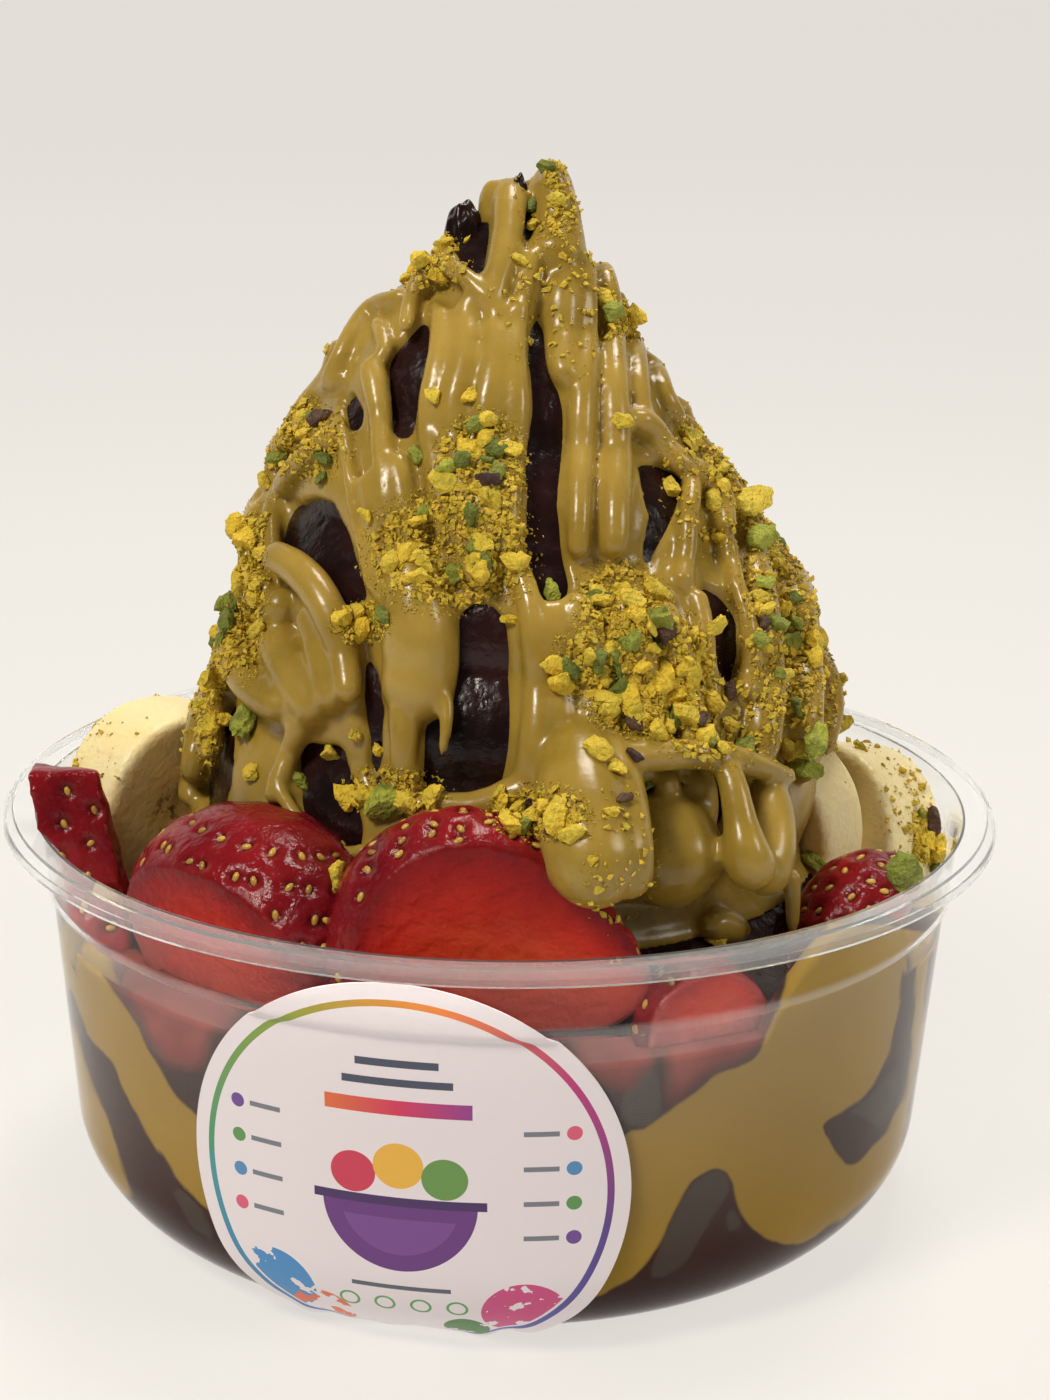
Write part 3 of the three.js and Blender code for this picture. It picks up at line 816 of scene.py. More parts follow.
# Sauce that hangs clear of the swirl: pixel x, pixel y, half width, and its face's distance from the axis.
HANGING = {
    "tongue": [
        (582, 742, 34, 46), (588, 780, 42, 54), (594, 824, 50, 61), (603, 864, 52, 65.5),
        (608, 894, 50, 67.5), (611, 922, 42, 67),
    ],
    "tongue_side": [
        (614, 744, 24, 47), (624, 780, 27, 54), (632, 820, 27, 60), (636, 862, 27, 64.5),
        (636, 908, 25, 65),
    ],
    "lobe": [
        (688, 796, 28, 46), (694, 832, 44, 51), (702, 870, 54, 55), (705, 902, 50, 57),
        (706, 920, 40, 57),
    ],
    "leg": [
        (724, 744, 14, 50), (742, 786, 15, 55), (752, 826, 18, 58), (764, 864, 25, 61),
        (776, 892, 25, 61),
    ],
    "outer": [
        (776, 772, 14, 50), (788, 812, 24, 55), (790, 848, 29, 58), (786, 880, 27, 59.5),
        (782, 902, 22, 59),
    ],
    "end": [(798, 870, 12, 57), (800, 900, 9, 58), (797, 938, 6, 59)],
}
# The two masses at the tip: the middle's angle, radius and height, and the sizes across, out and up.
DROPS = {
    "tip_left": (-75, 2.6, 148.6, 5.2, 4.2, 9),
    "tip_right": (90, 6.0, 147.4, 9.5, 7.6, 17),
}


PROUD = 1.12  # how much further out than measured the strands are laid, as the smooth takes some away
ALONG = 7  # pixels from point to point along a strand


def curve_through(points, spacing):
    """A smooth line through points of any number of values, with a step this long."""
    points = np.array(points, float)
    padded = np.vstack([2 * points[0] - points[1], points, 2 * points[-1] - points[-2]])
    made = []
    for k in range(len(points) - 1):
        a, b, c, d = padded[k : k + 4]
        steps = max(2, int(np.linalg.norm((c - b)[:2]) / spacing))
        for t in np.arange(steps) / steps:
            bend = 2 * a - 5 * b + 4 * c - d
            twist = 3 * b - a - 3 * c + d
            made.append(0.5 * (2 * b + (c - a) * t + bend * t**2 + twist * t**3))
    return np.vstack([made, points[-1:]])


def laid(depth, rows):
    """A strand's centre line in mm and its radii, from pixels and half widths."""
    line = curve_through(rows, ALONG)
    surface = land(line[:, :2], depth * 0.7)
    half = line[:, 2] * np.linalg.norm(surface - EYE, axis=1) / FOCAL
    ways = out_of_swirl(surface)
    off = height_off(surface)[:, None]
    core = surface - ways * off
    radius = np.where(half > depth, (half**2 + depth**2) / (2 * depth), half)
    return core + ways * (depth - radius)[:, None], radius


def hung(rows):
    """The same for a strand that hangs clear, where each line of sight comes this near to the axis."""
    line = curve_through(rows, ALONG)
    ways = sight(line[:, :2])
    far = (ways[:, :2] ** 2).sum(1)
    near = ways[:, :2] @ EYE[:2]
    reach = (-near - np.sqrt(np.maximum(near**2 - far * ((EYE[:2] ** 2).sum() - line[:, 3] ** 2), 0))) / far
    face = EYE + ways * reach[:, None]
    radius = line[:, 2] * reach / FOCAL
    level = np.hypot(face[:, 0], face[:, 1])
    inwards = np.stack([face[:, 0] / level, face[:, 1] / level, np.zeros(len(face))], 1)
    return face - inwards * radius[:, None], radius


def tapered(line, radius):
    """Rounds a strand's two ends, so that it ends like a drop."""
    walked = np.concatenate([[0], np.cumsum(np.linalg.norm(np.diff(line, axis=0), axis=1))])
    left = np.minimum(walked, walked[-1] - walked)
    share = np.clip(left / np.minimum(radius, walked[-1] / 3), 0.02, 1)
    return radius * np.sqrt(1 - (1 - share) ** 2)


def strand_mesh(name, lines):
    """All strands as splines of one curve with a round bevel, turned into a mesh."""
    curve = bpy.data.curves.new(name, "CURVE")
    curve.dimensions = "3D"
    curve.bevel_depth = MM
    curve.bevel_resolution = 7
    curve.use_fill_caps = True
    for line, radius in lines:
        spline = curve.splines.new("POLY")
        spline.points.add(len(line) - 1)
        for point, place, size in zip(spline.points, line, radius):
            point.co = (*(place * MM), 1)
            point.radius = size
    added(name, curve)
    bpy.ops.object.convert(target="MESH")
    return bpy.context.object


def hidden_strands():
    """Strands on the sides and the back, of the same sizes, between and over the hidden windows."""
    pick = random.Random(7)
    made = []
    for angle in np.arange(84, 277, 10.5):
        top = pick.uniform(106, 150)
        bottom = pick.uniform(56, 66)
        turn = pick.uniform(-9, 9)
        wide = pick.uniform(2.2, 4.2)
        depth = pick.uniform(3.2, 4.8)
        share = np.linspace(0, 1, 34)
        height = top + (bottom - top) * share
        wander = angle + turn * np.sqrt(share) + 2.5 * np.sin(share * 7 + angle)
        radius = wide * (0.8 + 0.35 * share**3 + 0.12 * np.sin(share * 9 + angle * 0.7))
        size = np.where(radius > depth, (radius**2 + depth**2) / (2 * depth), radius)
        line = polar(wander, core_radius(wander, height) + depth - size, height)
        line[:, 0] += lean(line[:, 2])
        made.append((line, tapered(line, size)))
    return made


lines = []
for depth, rows in STRANDS.values():
    line, radius = laid(depth * PROUD, rows)
    lines.append((line, tapered(line, radius)))
for rows in HANGING.values():
    line, radius = hung(rows)
    lines.append((line, tapered(line, radius)))
lines += hidden_strands()
strands = strand_mesh("strands", lines)
print(len(lines), "strands of sauce,", len(strands.data.vertices), "points")

# %% The sauce's base layer and drops
LAYER = 1.0
SUNK = -2.8
LAYER_FROM = 52
layer = primitive("layer", bpy.ops.mesh.primitive_uv_sphere_add, segments=240, ring_count=150)
latitude, angles = on_sphere(points_of(layer))
heights = LAYER_FROM + (TIP + 0.4 - LAYER_FROM) * latitude
skin = polar(angles, core_radius(angles, heights) * (latitude > 0.001), heights)
skin[:, 0] += lean(skin[:, 2])
covered = np.clip(openness(skin) / 0.8, 0, 1)
ways = out_of_swirl(skin)
skin += ways * (LAYER + (SUNK - LAYER) * covered)[:, None] * (latitude > 0.01)[:, None]
place_points(layer, skin)

masses = [strands, layer]
for name, (angle, radius, height, across, out, up) in DROPS.items():
    mass = primitive("mass_" + name, bpy.ops.mesh.primitive_uv_sphere_add, segments=40, ring_count=24)
    ball = points_of(mass) * (across / 2, out / 2, up / 2)
    cos, sin = math.cos(math.radians(angle)), math.sin(math.radians(angle))
    turned = ball @ np.array([(cos, sin, 0), (-sin, cos, 0), (0, 0, 1)])
    place_points(mass, turned + polar(angle, radius, height))
    masses.append(mass)
sauce = joined("pistachio_sauce", masses)
modify(sauce, "REMESH", mode="VOXEL", voxel_size=0.62 * MM)
modify(sauce, "SMOOTH", factor=0.5, iterations=5)
smooth(sauce)
print("sauce box", points_of(sauce).min(0).round(4), points_of(sauce).max(0).round(4))

# %% [markdown]
# Acai is a dark purple-brown ice, glossy where it melts and rough where it is still frozen. Against the wall
# it shows smears of sauce, the pressed ends of berries and pockets of air, whose grey is painted shade. Those
# are fields: a number for each point says how deep inside a field it is, and the shader turns that into a
# crisp, slightly ragged edge.

# %% Acai finish
# In front, outlines in the photograph: the sauce, the acai that breaks it, berries and trapped air, whose shade
# is painted.
WALL_SAUCE = [
    [
        (785, 930), (785, 963), (775, 1012), (761, 1044), (750, 1059), (729, 1068), (713, 1073),
        (686, 1097), (660, 1117), (620, 1140), (590, 1200), (590, 1290), (617, 1284), (637, 1273),
        (662, 1241), (675, 1213), (686, 1190), (703, 1173), (717, 1168), (727, 1174), (733, 1196),
        (743, 1219), (760, 1234), (784, 1243), (812, 1236), (844, 1213), (873, 1190), (893, 1167),
        (903, 1130), (918, 1040), (926, 966), (922, 930),
    ],
    [
        (40, 900), (60, 925), (84, 945), (98, 958), (112, 985), (132, 1013), (156, 1053), (169, 1081),
        (187, 1107), (240, 1150), (240, 1230), (200, 1202), (177, 1176), (161, 1152), (150, 1180),
        (135, 1196), (119, 1189), (98, 1162), (80, 1115), (66, 1076), (50, 1000),
    ],
]
WALL_ACAI = [
    [
        (66, 998), (72, 1004), (91, 1034), (111, 1060), (125, 1089), (143, 1126), (177, 1181),
        (190, 1226), (166, 1223), (135, 1194), (117, 1136), (98, 1089), (80, 1037),
    ],
    [
        (903, 972), (897, 1009), (887, 1052), (867, 1089), (844, 1112), (822, 1125), (831, 1142),
        (842, 1161), (853, 1163), (881, 1136), (890, 1115), (904, 1090), (910, 1023), (914, 966),
    ],
]
WALL_BERRY = [
    [
        (70, 925), (102, 938), (160, 950), (240, 985), (240, 1020), (214, 1034), (199, 1067), (168, 1062),
        (150, 1040), (130, 1004), (104, 968),
    ],
    [(560, 1010), (656, 1010), (654, 1057), (640, 1076), (622, 1092), (580, 1066)],
    [
        (668, 1000), (770, 985), (768, 1012), (757, 1046), (729, 1066), (709, 1075), (690, 1090),
        (671, 1104), (667, 1075),
    ],
]
# Pockets of trapped air: the acai there is painted grey, a painted shade of the gap behind the wall.
WALL_AIR_SHADE = [
    [(128, 1006), (146, 1018), (168, 1032), (188, 1052), (186, 1062), (160, 1060), (146, 1042)],
    [(656, 1046), (662, 1092), (660, 1114), (640, 1130), (620, 1120), (622, 1096), (640, 1078)],
    [(66, 993), (72, 988), (80, 1003), (89, 1031), (82, 1032), (68, 1006)],
    [(174, 1186), (190, 1195), (207, 1215), (216, 1240), (195, 1228), (180, 1205)],
    [(890, 1068), (873, 1089), (845, 1118), (858, 1114), (872, 1127), (884, 1124), (897, 1082)],
    [
        (686, 1190), (703, 1173), (717, 1168), (727, 1174), (730, 1192), (715, 1215), (700, 1240),
        (683, 1268), (650, 1272),
    ],
    [(728, 1208), (738, 1212), (742, 1226), (732, 1234), (724, 1224)],
]
# On the hidden sides, outlines by angle and height.
FAR_SAUCE = [
    [
        (84, 50), (112, 50), (120, 40), (124, 28), (134, 16), (126, 9), (114, 18), (106, 30), (98, 34),
        (92, 24), (86, 34),
    ],
    [
        (146, 50), (176, 50), (184, 38), (196, 30), (204, 16), (192, 11), (182, 22), (172, 20), (164, 9),
        (154, 14), (156, 30),
    ],
    [(206, 50), (236, 50), (240, 36), (232, 26), (236, 14), (226, 7), (216, 18), (218, 32), (208, 38)],
    [(250, 48), (268, 50), (276, 30), (270, 14), (262, 10), (256, 26), (246, 34)],
]


def rounded(outline):
    """The outline as a smooth closed curve through its corners."""
    corners = np.array(outline, float)
    around = curve_through(np.vstack([corners, corners[:2]]), 3)
    first = np.abs(around - corners[1]).sum(1).argmin()
    return around[first:-1]


def inside_pixels(outlines, points):
    """Mm inside the nearest outline of the photograph, for the half of the bowl that the camera sees."""
    pixels = seen_at(points)
    deepest = np.full(len(points), -99.0)
    for outline in outlines:
        deepest = np.maximum(deepest, -away_from(rounded(outline), pixels) * PIXEL)
    return np.where(np.abs(angle_of(points)) < 82, deepest, -99.0)


def inside_angles(outlines, points):
    """The same for outlines by angle and height."""
    spots = np.stack([angle_of(points), points[:, 2]], 1)
    deepest = np.full(len(points), -99.0)
    for outline in outlines:
        corners = rounded(outline)
        middle = corners[:, 0].mean()
        turned = spots.copy()
        turned[:, 0] = middle + (spots[:, 0] - middle + 180) % 360 - 180
        deepest = np.maximum(deepest, -away_from(corners, turned))
    return deepest


points = points_of(acai) / MM
on_wall = np.hypot(points[:, 0], points[:, 1]) > wall_radius(points[:, 2]) - 3.5
on_wall |= points[:, 2] < 16
on_wall |= (points[:, 2] < FILL_LEVEL + 1.2) & (np.hypot(points[:, 0], points[:, 1]) > SHELF[0] + 2)
sauce_depth = np.minimum(inside_pixels(WALL_SAUCE, points), -inside_pixels(WALL_ACAI, points))
sauce_depth = np.minimum(sauce_depth, -inside_pixels(WALL_AIR_SHADE, points))
sauce_depth = np.maximum(sauce_depth, inside_angles(FAR_SAUCE, points))
fields = {
    "sauce_field": sauce_depth,
    "air_field": inside_pixels(WALL_AIR_SHADE, points),
    "berry_field": inside_pixels(WALL_BERRY, points),
}
for name, depth in fields.items():
    paint(acai, name, np.where(on_wall, depth.clip(-9, 9), -9) / 10)
paint(acai, "walled", on_wall)

SAUCE_MID = rgb(158, 126, 46)
SAUCE_DEEP = rgb(140, 110, 38)
ACAI_DARK = rgb(22, 10, 10)
ACAI_WET = rgb(46, 23, 21)
ACAI_WALL = rgb(64, 40, 34)
# Painted shade: the grey of the air pockets between the acai and the wall.
AIR_SHADE = rgb(72, 62, 54)
BERRY_LOW = rgb(138, 68, 58)
BERRY_EDGE = rgb(110, 42, 36)

finish = Finish("acai")


def field(name, scale, ragged, low, high):
    """1 inside a field and 0 outside, across an edge this ragged in mm."""
    edge = finish.attribute(name) * 10 + (finish.noise(scale) - 0.5) * ragged
    return finish.step(edge, low, high)


share = field("sauce_field", 140, 1.6, -0.15, 0.3)
air = field("air_field", 180, 1.5, -0.1, 0.4)
dark = finish.blend(finish.step(finish.noise(90), 0.35, 0.7), ACAI_DARK, ACAI_WET)
icy = finish.step(finish.noise(420, 5), 0.5, 0.75)
bare = finish.surface(
    Base_Color=dark,
    Roughness=0.2 + icy * 0.25,
    Normal=finish.bump(finish.noise(500, 5) * 0.7 + finish.noise(110) * 1.5, 0.0009, 0.4),
    IOR=1.34,
)
# Food that touches the wall has no shine of its own, as there is no air between the two.
pressed = finish.blend(finish.step(finish.noise(90), 0.3, 0.75) * 0.5, ACAI_WALL, dark)
# Painted shade of the air pockets, laid on the acai against the wall.
pressed = finish.blend(air * 0.85, pressed, AIR_SHADE)
fruity = field("berry_field", 120, 1.2, -0.7, 1.5)
fruit = finish.blend(finish.step(finish.noise(110), 0.35, 0.65), BERRY_EDGE, BERRY_LOW)
pressed = finish.blend(fruity, pressed, fruit)
pressed = finish.blend(share, pressed, finish.blend(finish.noise(60), SAUCE_DEEP, SAUCE_MID))
flat = finish.surface(Base_Color=pressed, Roughness=0.6, Specular_IOR_Level=0.0)
shader = finish.node("ShaderNodeMixShader", inputs={0: finish.attribute("walled"), 1: bare, 2: flat})
acai_look = finish.finish(shader)
finished(acai, acai_look, "acai", "acai_swirl")

# %% Sauce finish
finish = Finish("pistachio sauce")
patches = finish.step(finish.noise(70, 4), 0.35, 0.65)
shader = finish.surface(
    Base_Color=finish.blend(patches, rgb(146, 119, 42), rgb(174, 144, 64)),
    Roughness=finish.step(finish.noise(160), 0.2, 0.8) * 0.12 + 0.2,
    Normal=finish.bump(finish.noise(230, 4), 0.0004, 0.35),
    Subsurface_Weight=0.25,
    Subsurface_Radius=(0.9, 0.6, 0.2),
    Subsurface_Scale=0.0018,
    IOR=1.46,
)
sauce_look = finish.finish(shader)
finished(sauce, sauce_look, "pistachio_sauce", "acai_swirl")

# %% [markdown]
# A strawberry is cut with a knife, so its cut face is flat with a soft edge, and its skin is dimpled with a
# seed in each dimple. A sphere takes the berry's profile, bisect cuts it, and a voxel remesh gives the faces
# an even grid. Each point then knows how far out in the berry it is, and whether it is on a cut.

# %% Strawberries
SEED_SPACING = 4.3
DIMPLE = 0.75
UNEVEN = 0.14


def berry_seeds(berry):
    """Places and outward ways of the seeds, in a spiral over the skin that is left."""
    length, width, depth = berry["size"]
    axes = berry_axes(berry)
    rows = int(length / SEED_SPACING * 1.25)
    made = []
    for row in range(1, rows):
        share = row / rows
        radius = float(berry_width(share, width))
        around = max(3, int(2 * math.pi * radius / SEED_SPACING))
        for k in range(around):
            turn = 2 * math.pi * (k + 0.5 * (row % 2)) / around + 0.06 * math.sin(5 * row + 3 * k)
            side, front = radius * math.cos(turn), radius * math.sin(turn) * depth / width
            made.append((side, front, length * (0.5 - share)))
    local = np.array(made)
    ways = local * (1 / width**2, 1 / depth**2, 0.6 / length**2)
    ways /= np.linalg.norm(ways, axis=1, keepdims=True)
    places = local @ axes + np.array(berry["middle"], float)
    _, under = berry_reach(berry, places)
    kept = under.min(0) > 0.9
    places, ways = places[kept], (ways @ axes)[kept]
    if "skin_cut" in berry:
        way, distance = berry["cuts"][berry["skin_cut"]]
        first = unit(np.cross(axes[2], unit(way)))
        second = np.cross(unit(way), first)
        grid = [(a + 0.5 * (k % 2), k) for a in range(-4, 5) for k in range(-5, 6)]
        flat = np.array(grid) * (SEED_SPACING * 1.1, SEED_SPACING * 0.95)
        more = np.array(berry["middle"], float) + unit(way) * distance
        more = more + flat[:, :1] * first + flat[:, 1:] * second
        reach, under = berry_reach(berry, more)
        others = np.delete(under, berry["skin_cut"], axis=0).min(0)
        on_face = (reach < 0.94) & (others > 0.9)
        places = np.vstack([places, more[on_face]])
        ways = np.vstack([ways, np.tile(unit(way), (on_face.sum(), 1))])
    return places, ways


def into_bowl(points, spare):
    """Points pressed inwards to the bowl's inner face where they would go through it."""
    radius = np.hypot(points[:, 0], points[:, 1])
    wall = wall_radius(np.minimum(points[:, 2], 58)) - SHEET - spare
    limit = wall + (RIM_RADIUS - 0.4 - wall) * np.clip((points[:, 2] - 59) / 7, 0, 1)
    share = np.minimum(1, limit / np.maximum(radius, 1e-6))
    return points * np.stack([share, share, np.ones(len(share))], 1)


def strawberry(name, berry):
    length, width, depth = berry["size"]
    piece = primitive(name + "_fruit", bpy.ops.mesh.primitive_uv_sphere_add, segments=72, ring_count=48)
    ball = points_of(piece)
    share = np.arccos(np.clip(ball[:, 2], -1, 1)) / np.pi
    turn = np.arctan2(ball[:, 1], ball[:, 0])
    radius = berry_width(share, width)
    side, front = radius * np.cos(turn), radius * np.sin(turn) * depth / width
    local = np.stack([side, front, length * (0.5 - share)], 1)
    place_points(piece, local @ berry_axes(berry) + np.array(berry["middle"], float))
    outwards(piece)
    bpy.ops.object.mode_set(mode="EDIT")
    for way, distance in berry["cuts"]:
        normal = unit(way)
        point = np.array(berry["middle"], float) + normal * distance
        bpy.ops.mesh.select_all(action="SELECT")
        bpy.ops.mesh.bisect(plane_co=point * MM, plane_no=normal, use_fill=True, clear_outer=True)
    bpy.ops.object.mode_set(mode="OBJECT")
    modify(piece, "REMESH", mode="VOXEL", voxel_size=0.5 * MM)
    modify(piece, "SMOOTH", factor=0.5, iterations=3)
    points = points_of(piece) / MM
    reach, under = berry_reach(berry, points)
    on_cut = np.clip(1.3 - np.abs(under).min(0) / 0.7, 0, 1) * (reach < 1.02) * ("skin_cut" not in berry)
    seeds, ways = berry_seeds(berry)
    dent = np.zeros(len(points))
    out = np.zeros_like(points)
    for seed, way in zip(seeds, ways):
        near = np.linalg.norm(points - seed, axis=1)
        close = near < 2.6
        dent[close] += DIMPLE * np.exp(-((near[close] / 1.05) ** 2))
        out[close] = way
    points -= out * (dent * (1 - on_cut))[:, None]
    uneven = UNEVEN * np.sin(points * 1.1).sum(1)
    points += (1 - on_cut)[:, None] * unit((0.3, 0.4, 0.2)) * uneven[:, None]
    place_points(piece, into_bowl(points, 0.05))
    smooth(piece)
    paint(piece, "cut", on_cut)
    paint(piece, "reach", reach.clip(0, 1.2))
    paint(piece, "pit", np.clip(dent / DIMPLE, 0, 1))
    paint(piece, "low", np.clip((57 - points[:, 2]) / 12, 0, 1))
    return piece, seeds - ways * DIMPLE * 0.7, ways


SKIN = rgb(142, 24, 30)
SKIN_DARK = rgb(98, 10, 20)
# Painted shade: the skin is darkened in the seed dimples.
SKIN_PIT_SHADE = rgb(62, 8, 12)
FLESH = [
    (0.0, rgb(212, 110, 76)),
    (0.3, rgb(206, 72, 34)),
    (0.6, rgb(190, 36, 14)),
    (0.85, rgb(152, 12, 10)),
    (1.0, rgb(116, 6, 12)),
]
FLESH_LOW = rgb(184, 96, 88)

finish = Finish("strawberry")
reach = finish.attribute("reach")
fibres = finish.noise(340, 4)
flesh = finish.node("ShaderNodeValToRGB", {"stops": FLESH}, {0: reach + (fibres - 0.5) * 0.22})
flesh = finish.blend(finish.attribute("low") * (0.55 + fibres * 0.5), flesh, FLESH_LOW)
skin_colour = finish.blend(finish.step(finish.noise(90), 0.3, 0.7), SKIN_DARK, SKIN)
# Painted shade in the seed dimples.
skin_colour = finish.blend(finish.step(finish.attribute("pit"), 0.25, 0.9) * 0.8, skin_colour, SKIN_PIT_SHADE)
shader = finish.surface(
    Base_Color=finish.blend(finish.attribute("cut"), skin_colour, flesh),
    Roughness=finish.step(finish.noise(300), 0.3, 0.7) * 0.14 + finish.attribute("cut") * 0.22 + 0.15,
    Normal=finish.bump(finish.noise(560, 4) + finish.noise(260), 0.0007, 0.55),
    Subsurface_Weight=0.15,
    Subsurface_Radius=(1.0, 0.25, 0.15),
    Subsurface_Scale=0.002,
    IOR=1.32,
)
berry_look = finish.finish(shader)

seed_places = []
seed_ways = []
for name, berry in BERRIES.items():
    piece, places, ways = strawberry(name, berry)
    finished(piece, berry_look, "strawberry", name)
    seed_places.append(places)
    seed_ways.append(ways)

# %% [markdown]
# Many small things are modelled once and copied, each turned and sized on its own, and all joined in one mesh
# for each kind. The copies carry a number for their own tint.

# %% Copying small pieces
def shape_of(piece):
    """A modelled piece's points and faces, after which the piece is taken away."""
    points = points_of(piece) / np.abs(points_of(piece)).max()
    faces = [tuple(face.vertices) for face in piece.data.polygons]
    bpy.data.objects.remove(piece)
    return points, faces


def turned_to(ways, spins):
    """Rotations that point +Z along each way, each spun by its own angle."""
    ways = ways / np.linalg.norm(ways, axis=1, keepdims=True)
    helper = np.where(np.abs(ways[:, 2:]) > 0.9, (1.0, 0.0, 0.0), (0.0, 0.0, 1.0))
    first = np.cross(helper, ways)
    first /= np.linalg.norm(first, axis=1, keepdims=True)
    second = np.cross(ways, first)
    cos, sin = np.cos(spins)[:, None], np.sin(spins)[:, None]
    return np.stack([first * cos + second * sin, second * cos - first * sin, ways], 1)


def copies(name, shapes, places, ways, sizes, seed):
    """One mesh of copies of the shapes. Sizes are half sizes in mm, across, along and out."""
    draw = np.random.RandomState(seed)
    frames = turned_to(ways, draw.uniform(0, 2 * np.pi, len(places)))
    points, faces, tints = [], [], []
    count = 0
    for place, frame_axes, size in zip(places, frames, sizes):
        shape, shape_faces = shapes[draw.randint(len(shapes))]
        points.append(shape * size @ frame_axes + place)
        faces += [tuple(k + count for k in face) for face in shape_faces]
        tints.append(np.full(len(shape), draw.uniform()))
        count += len(shape)
    mesh = bpy.data.meshes.new(name)
    mesh.from_pydata((np.concatenate(points) * MM).tolist(), [], faces)
    piece = added(name, mesh)
    paint(piece, "tint", np.concatenate(tints))
    return piece


# %% Strawberry seeds
pip = primitive("pip", bpy.ops.mesh.primitive_uv_sphere_add, segments=8, ring_count=6)
pip_shape = [shape_of(pip)]
seed_places = np.concatenate(seed_places)
seed_ways = np.concatenate(seed_ways)
seed_sizes = np.tile((0.48, 0.78, 0.34), (len(seed_places), 1))
pips = copies("strawberry_seeds", pip_shape, into_bowl(seed_places, 0.3), seed_ways, seed_sizes, 3)
smooth(pips)
finish = Finish("strawberry seed")
shader = finish.surface(
    Base_Color=finish.blend(finish.attribute("tint"), rgb(150, 104, 36), rgb(206, 160, 66)),
    Roughness=0.3,
)
finished(pips, finish.finish(shader), "strawberry_seed")

# %% [markdown]
# A banana slice is a short round piece with softly rounded edges. Its cut face has a paler ring at the edge
# and three lobes of small seeds in a slightly translucent middle. The darker middle is partly the fruit's own
# tone and partly painted shade of the dished face.

# %% Banana slices
BANANAS = {
    "banana_left": (-92, 52, 59, -42, 4, 31, 12),
    "banana_left_behind": (-114.4, 53.3, 54, -21, 4, 28, 9),
    "banana_back_1": (-143, 55, 54.5, -32, 12, 30, 10),
    "banana_back_2": (-171, 55, 55.5, -30, 14, 31, 10),
    "banana_back_3": (161, 55, 54.5, -32, 14, 30, 10),
    "banana_back_4": (134, 55, 54.5, -32, 12, 29, 10),
    "banana_right": (98.4, 54.6, 52.5, 32, -12, 30, 13),
    "banana_right_inside": (90, 41, 57.5, 45, 5, 31, 10),
}
EDGE_ROUND = 1.2


def slice_matrix(angle, distance, height, turn, tilt):
    middle = polar(angle, distance, height)
    spun = Matrix.Rotation(math.radians(angle + turn), 4, "Z") @ Matrix.Rotation(math.radians(-tilt), 4, "X")
    return Matrix.Translation(Vector(middle)) @ spun


def banana(name, angle, distance, height, turn, tilt, diameter, thickness):
    piece = primitive(
        name + "_slice",
        bpy.ops.mesh.primitive_cylinder_add,
        vertices=64,
        radius=diameter / 2,
        depth=thickness,
        rotation=(math.pi / 2, 0, 0),
    )
    bpy.ops.object.transform_apply(location=False, rotation=True, scale=False)
    modify(piece, "BEVEL", width=EDGE_ROUND, segments=4, limit_method="ANGLE")
    modify(piece, "REMESH", mode="VOXEL", voxel_size=0.7)
    modify(piece, "SMOOTH", factor=0.5, iterations=3)
    points = points_of(piece)
    level = np.hypot(points[:, 0], points[:, 2])
    around = np.arctan2(points[:, 2], points[:, 0])
    uneven = 1 + 0.012 * np.sin(5 * around + angle) + 0.008 * np.sin(3 * around)
    dished = 0.35 * np.clip(1 - level / (diameter * 0.42), 0, 1) * np.sign(points[:, 1])
    points = points * np.stack([uneven, np.ones(len(level)), uneven * 0.94], 1)
    points[:, 1] -= dished
    lobes = level / (diameter / 2)
    matrix = np.array(slice_matrix(angle, distance, height, turn, tilt))
    moved = points @ matrix[:3, :3].T + matrix[:3, 3]
    place_points(piece, into_bowl(moved, 0.05))
    smooth(piece)
    paint(piece, "reach", lobes)
    paint(piece, "side_turn", around)
    return piece


finish = Finish("banana")
reach = finish.attribute("reach")
turn = finish.attribute("side_turn")
lobe = finish.node("ShaderNodeMath", {"operation": "COSINE"}, {0: turn * 3}) * 0.5 + 0.5
seeded = finish.step(reach, 0.1, 0.2) * (1 - finish.step(reach, 0.34, 0.48)) * (0.35 + lobe * 0.65)
# The middle of the cut face is darkened: partly the fruit's own tone, partly painted shade of the dished face.
core = 1 - finish.step(reach + (finish.noise(260) - 0.5) * 0.2, 0.36, 0.66)
dots = finish.step(finish.noise(800, 2), 0.54, 0.62)
pale = finish.blend(finish.noise(150), rgb(246, 220, 150), rgb(252, 238, 190))
toned_and_shaded = finish.blend(core * 0.45, pale, rgb(214, 176, 96))
shader = finish.surface(
    Base_Color=finish.blend(seeded * dots, toned_and_shaded, rgb(112, 80, 30)),
    Roughness=finish.noise(200) * 0.25 + 0.28,
    Normal=finish.bump(finish.noise(700, 4) + finish.noise(180), 0.0007, 0.5),
    Subsurface_Weight=0.3,
    Subsurface_Radius=(1.0, 0.8, 0.4),
    Subsurface_Scale=0.002,
)
banana_look = finish.finish(shader)
for name, values in BANANAS.items():
    finished(banana(name, *values), banana_look, "banana", name)

# %% [markdown]
# The nuts are chopped. Large pieces are balls with a few flat breaks, and crumbs are hulls round scattered
# points. Both are copied. Each is dropped on the sauce along the line of sight on which the photograph shows
# it, and behind and at the sides along a line from outside to the swirl's middle.

# %% Nut chips
def chip(seed, corners):
    """A crumb: the hull round points scattered on an uneven ball."""
    draw = np.random.RandomState(seed)
    spots = draw.normal(size=(corners, 3))
    spots /= np.linalg.norm(spots, axis=1, keepdims=True)
    spots *= draw.uniform(0.75, 1, (corners, 1))
    mesh = bpy.data.meshes.new("chip")
    mesh.from_pydata(spots.tolist(), [], [])
    piece = added("chip", mesh)
    bpy.ops.object.mode_set(mode="EDIT")
    bpy.ops.mesh.select_all(action="SELECT")
    bpy.ops.mesh.convex_hull()
    bpy.ops.object.mode_set(mode="OBJECT")
    return shape_of(piece)


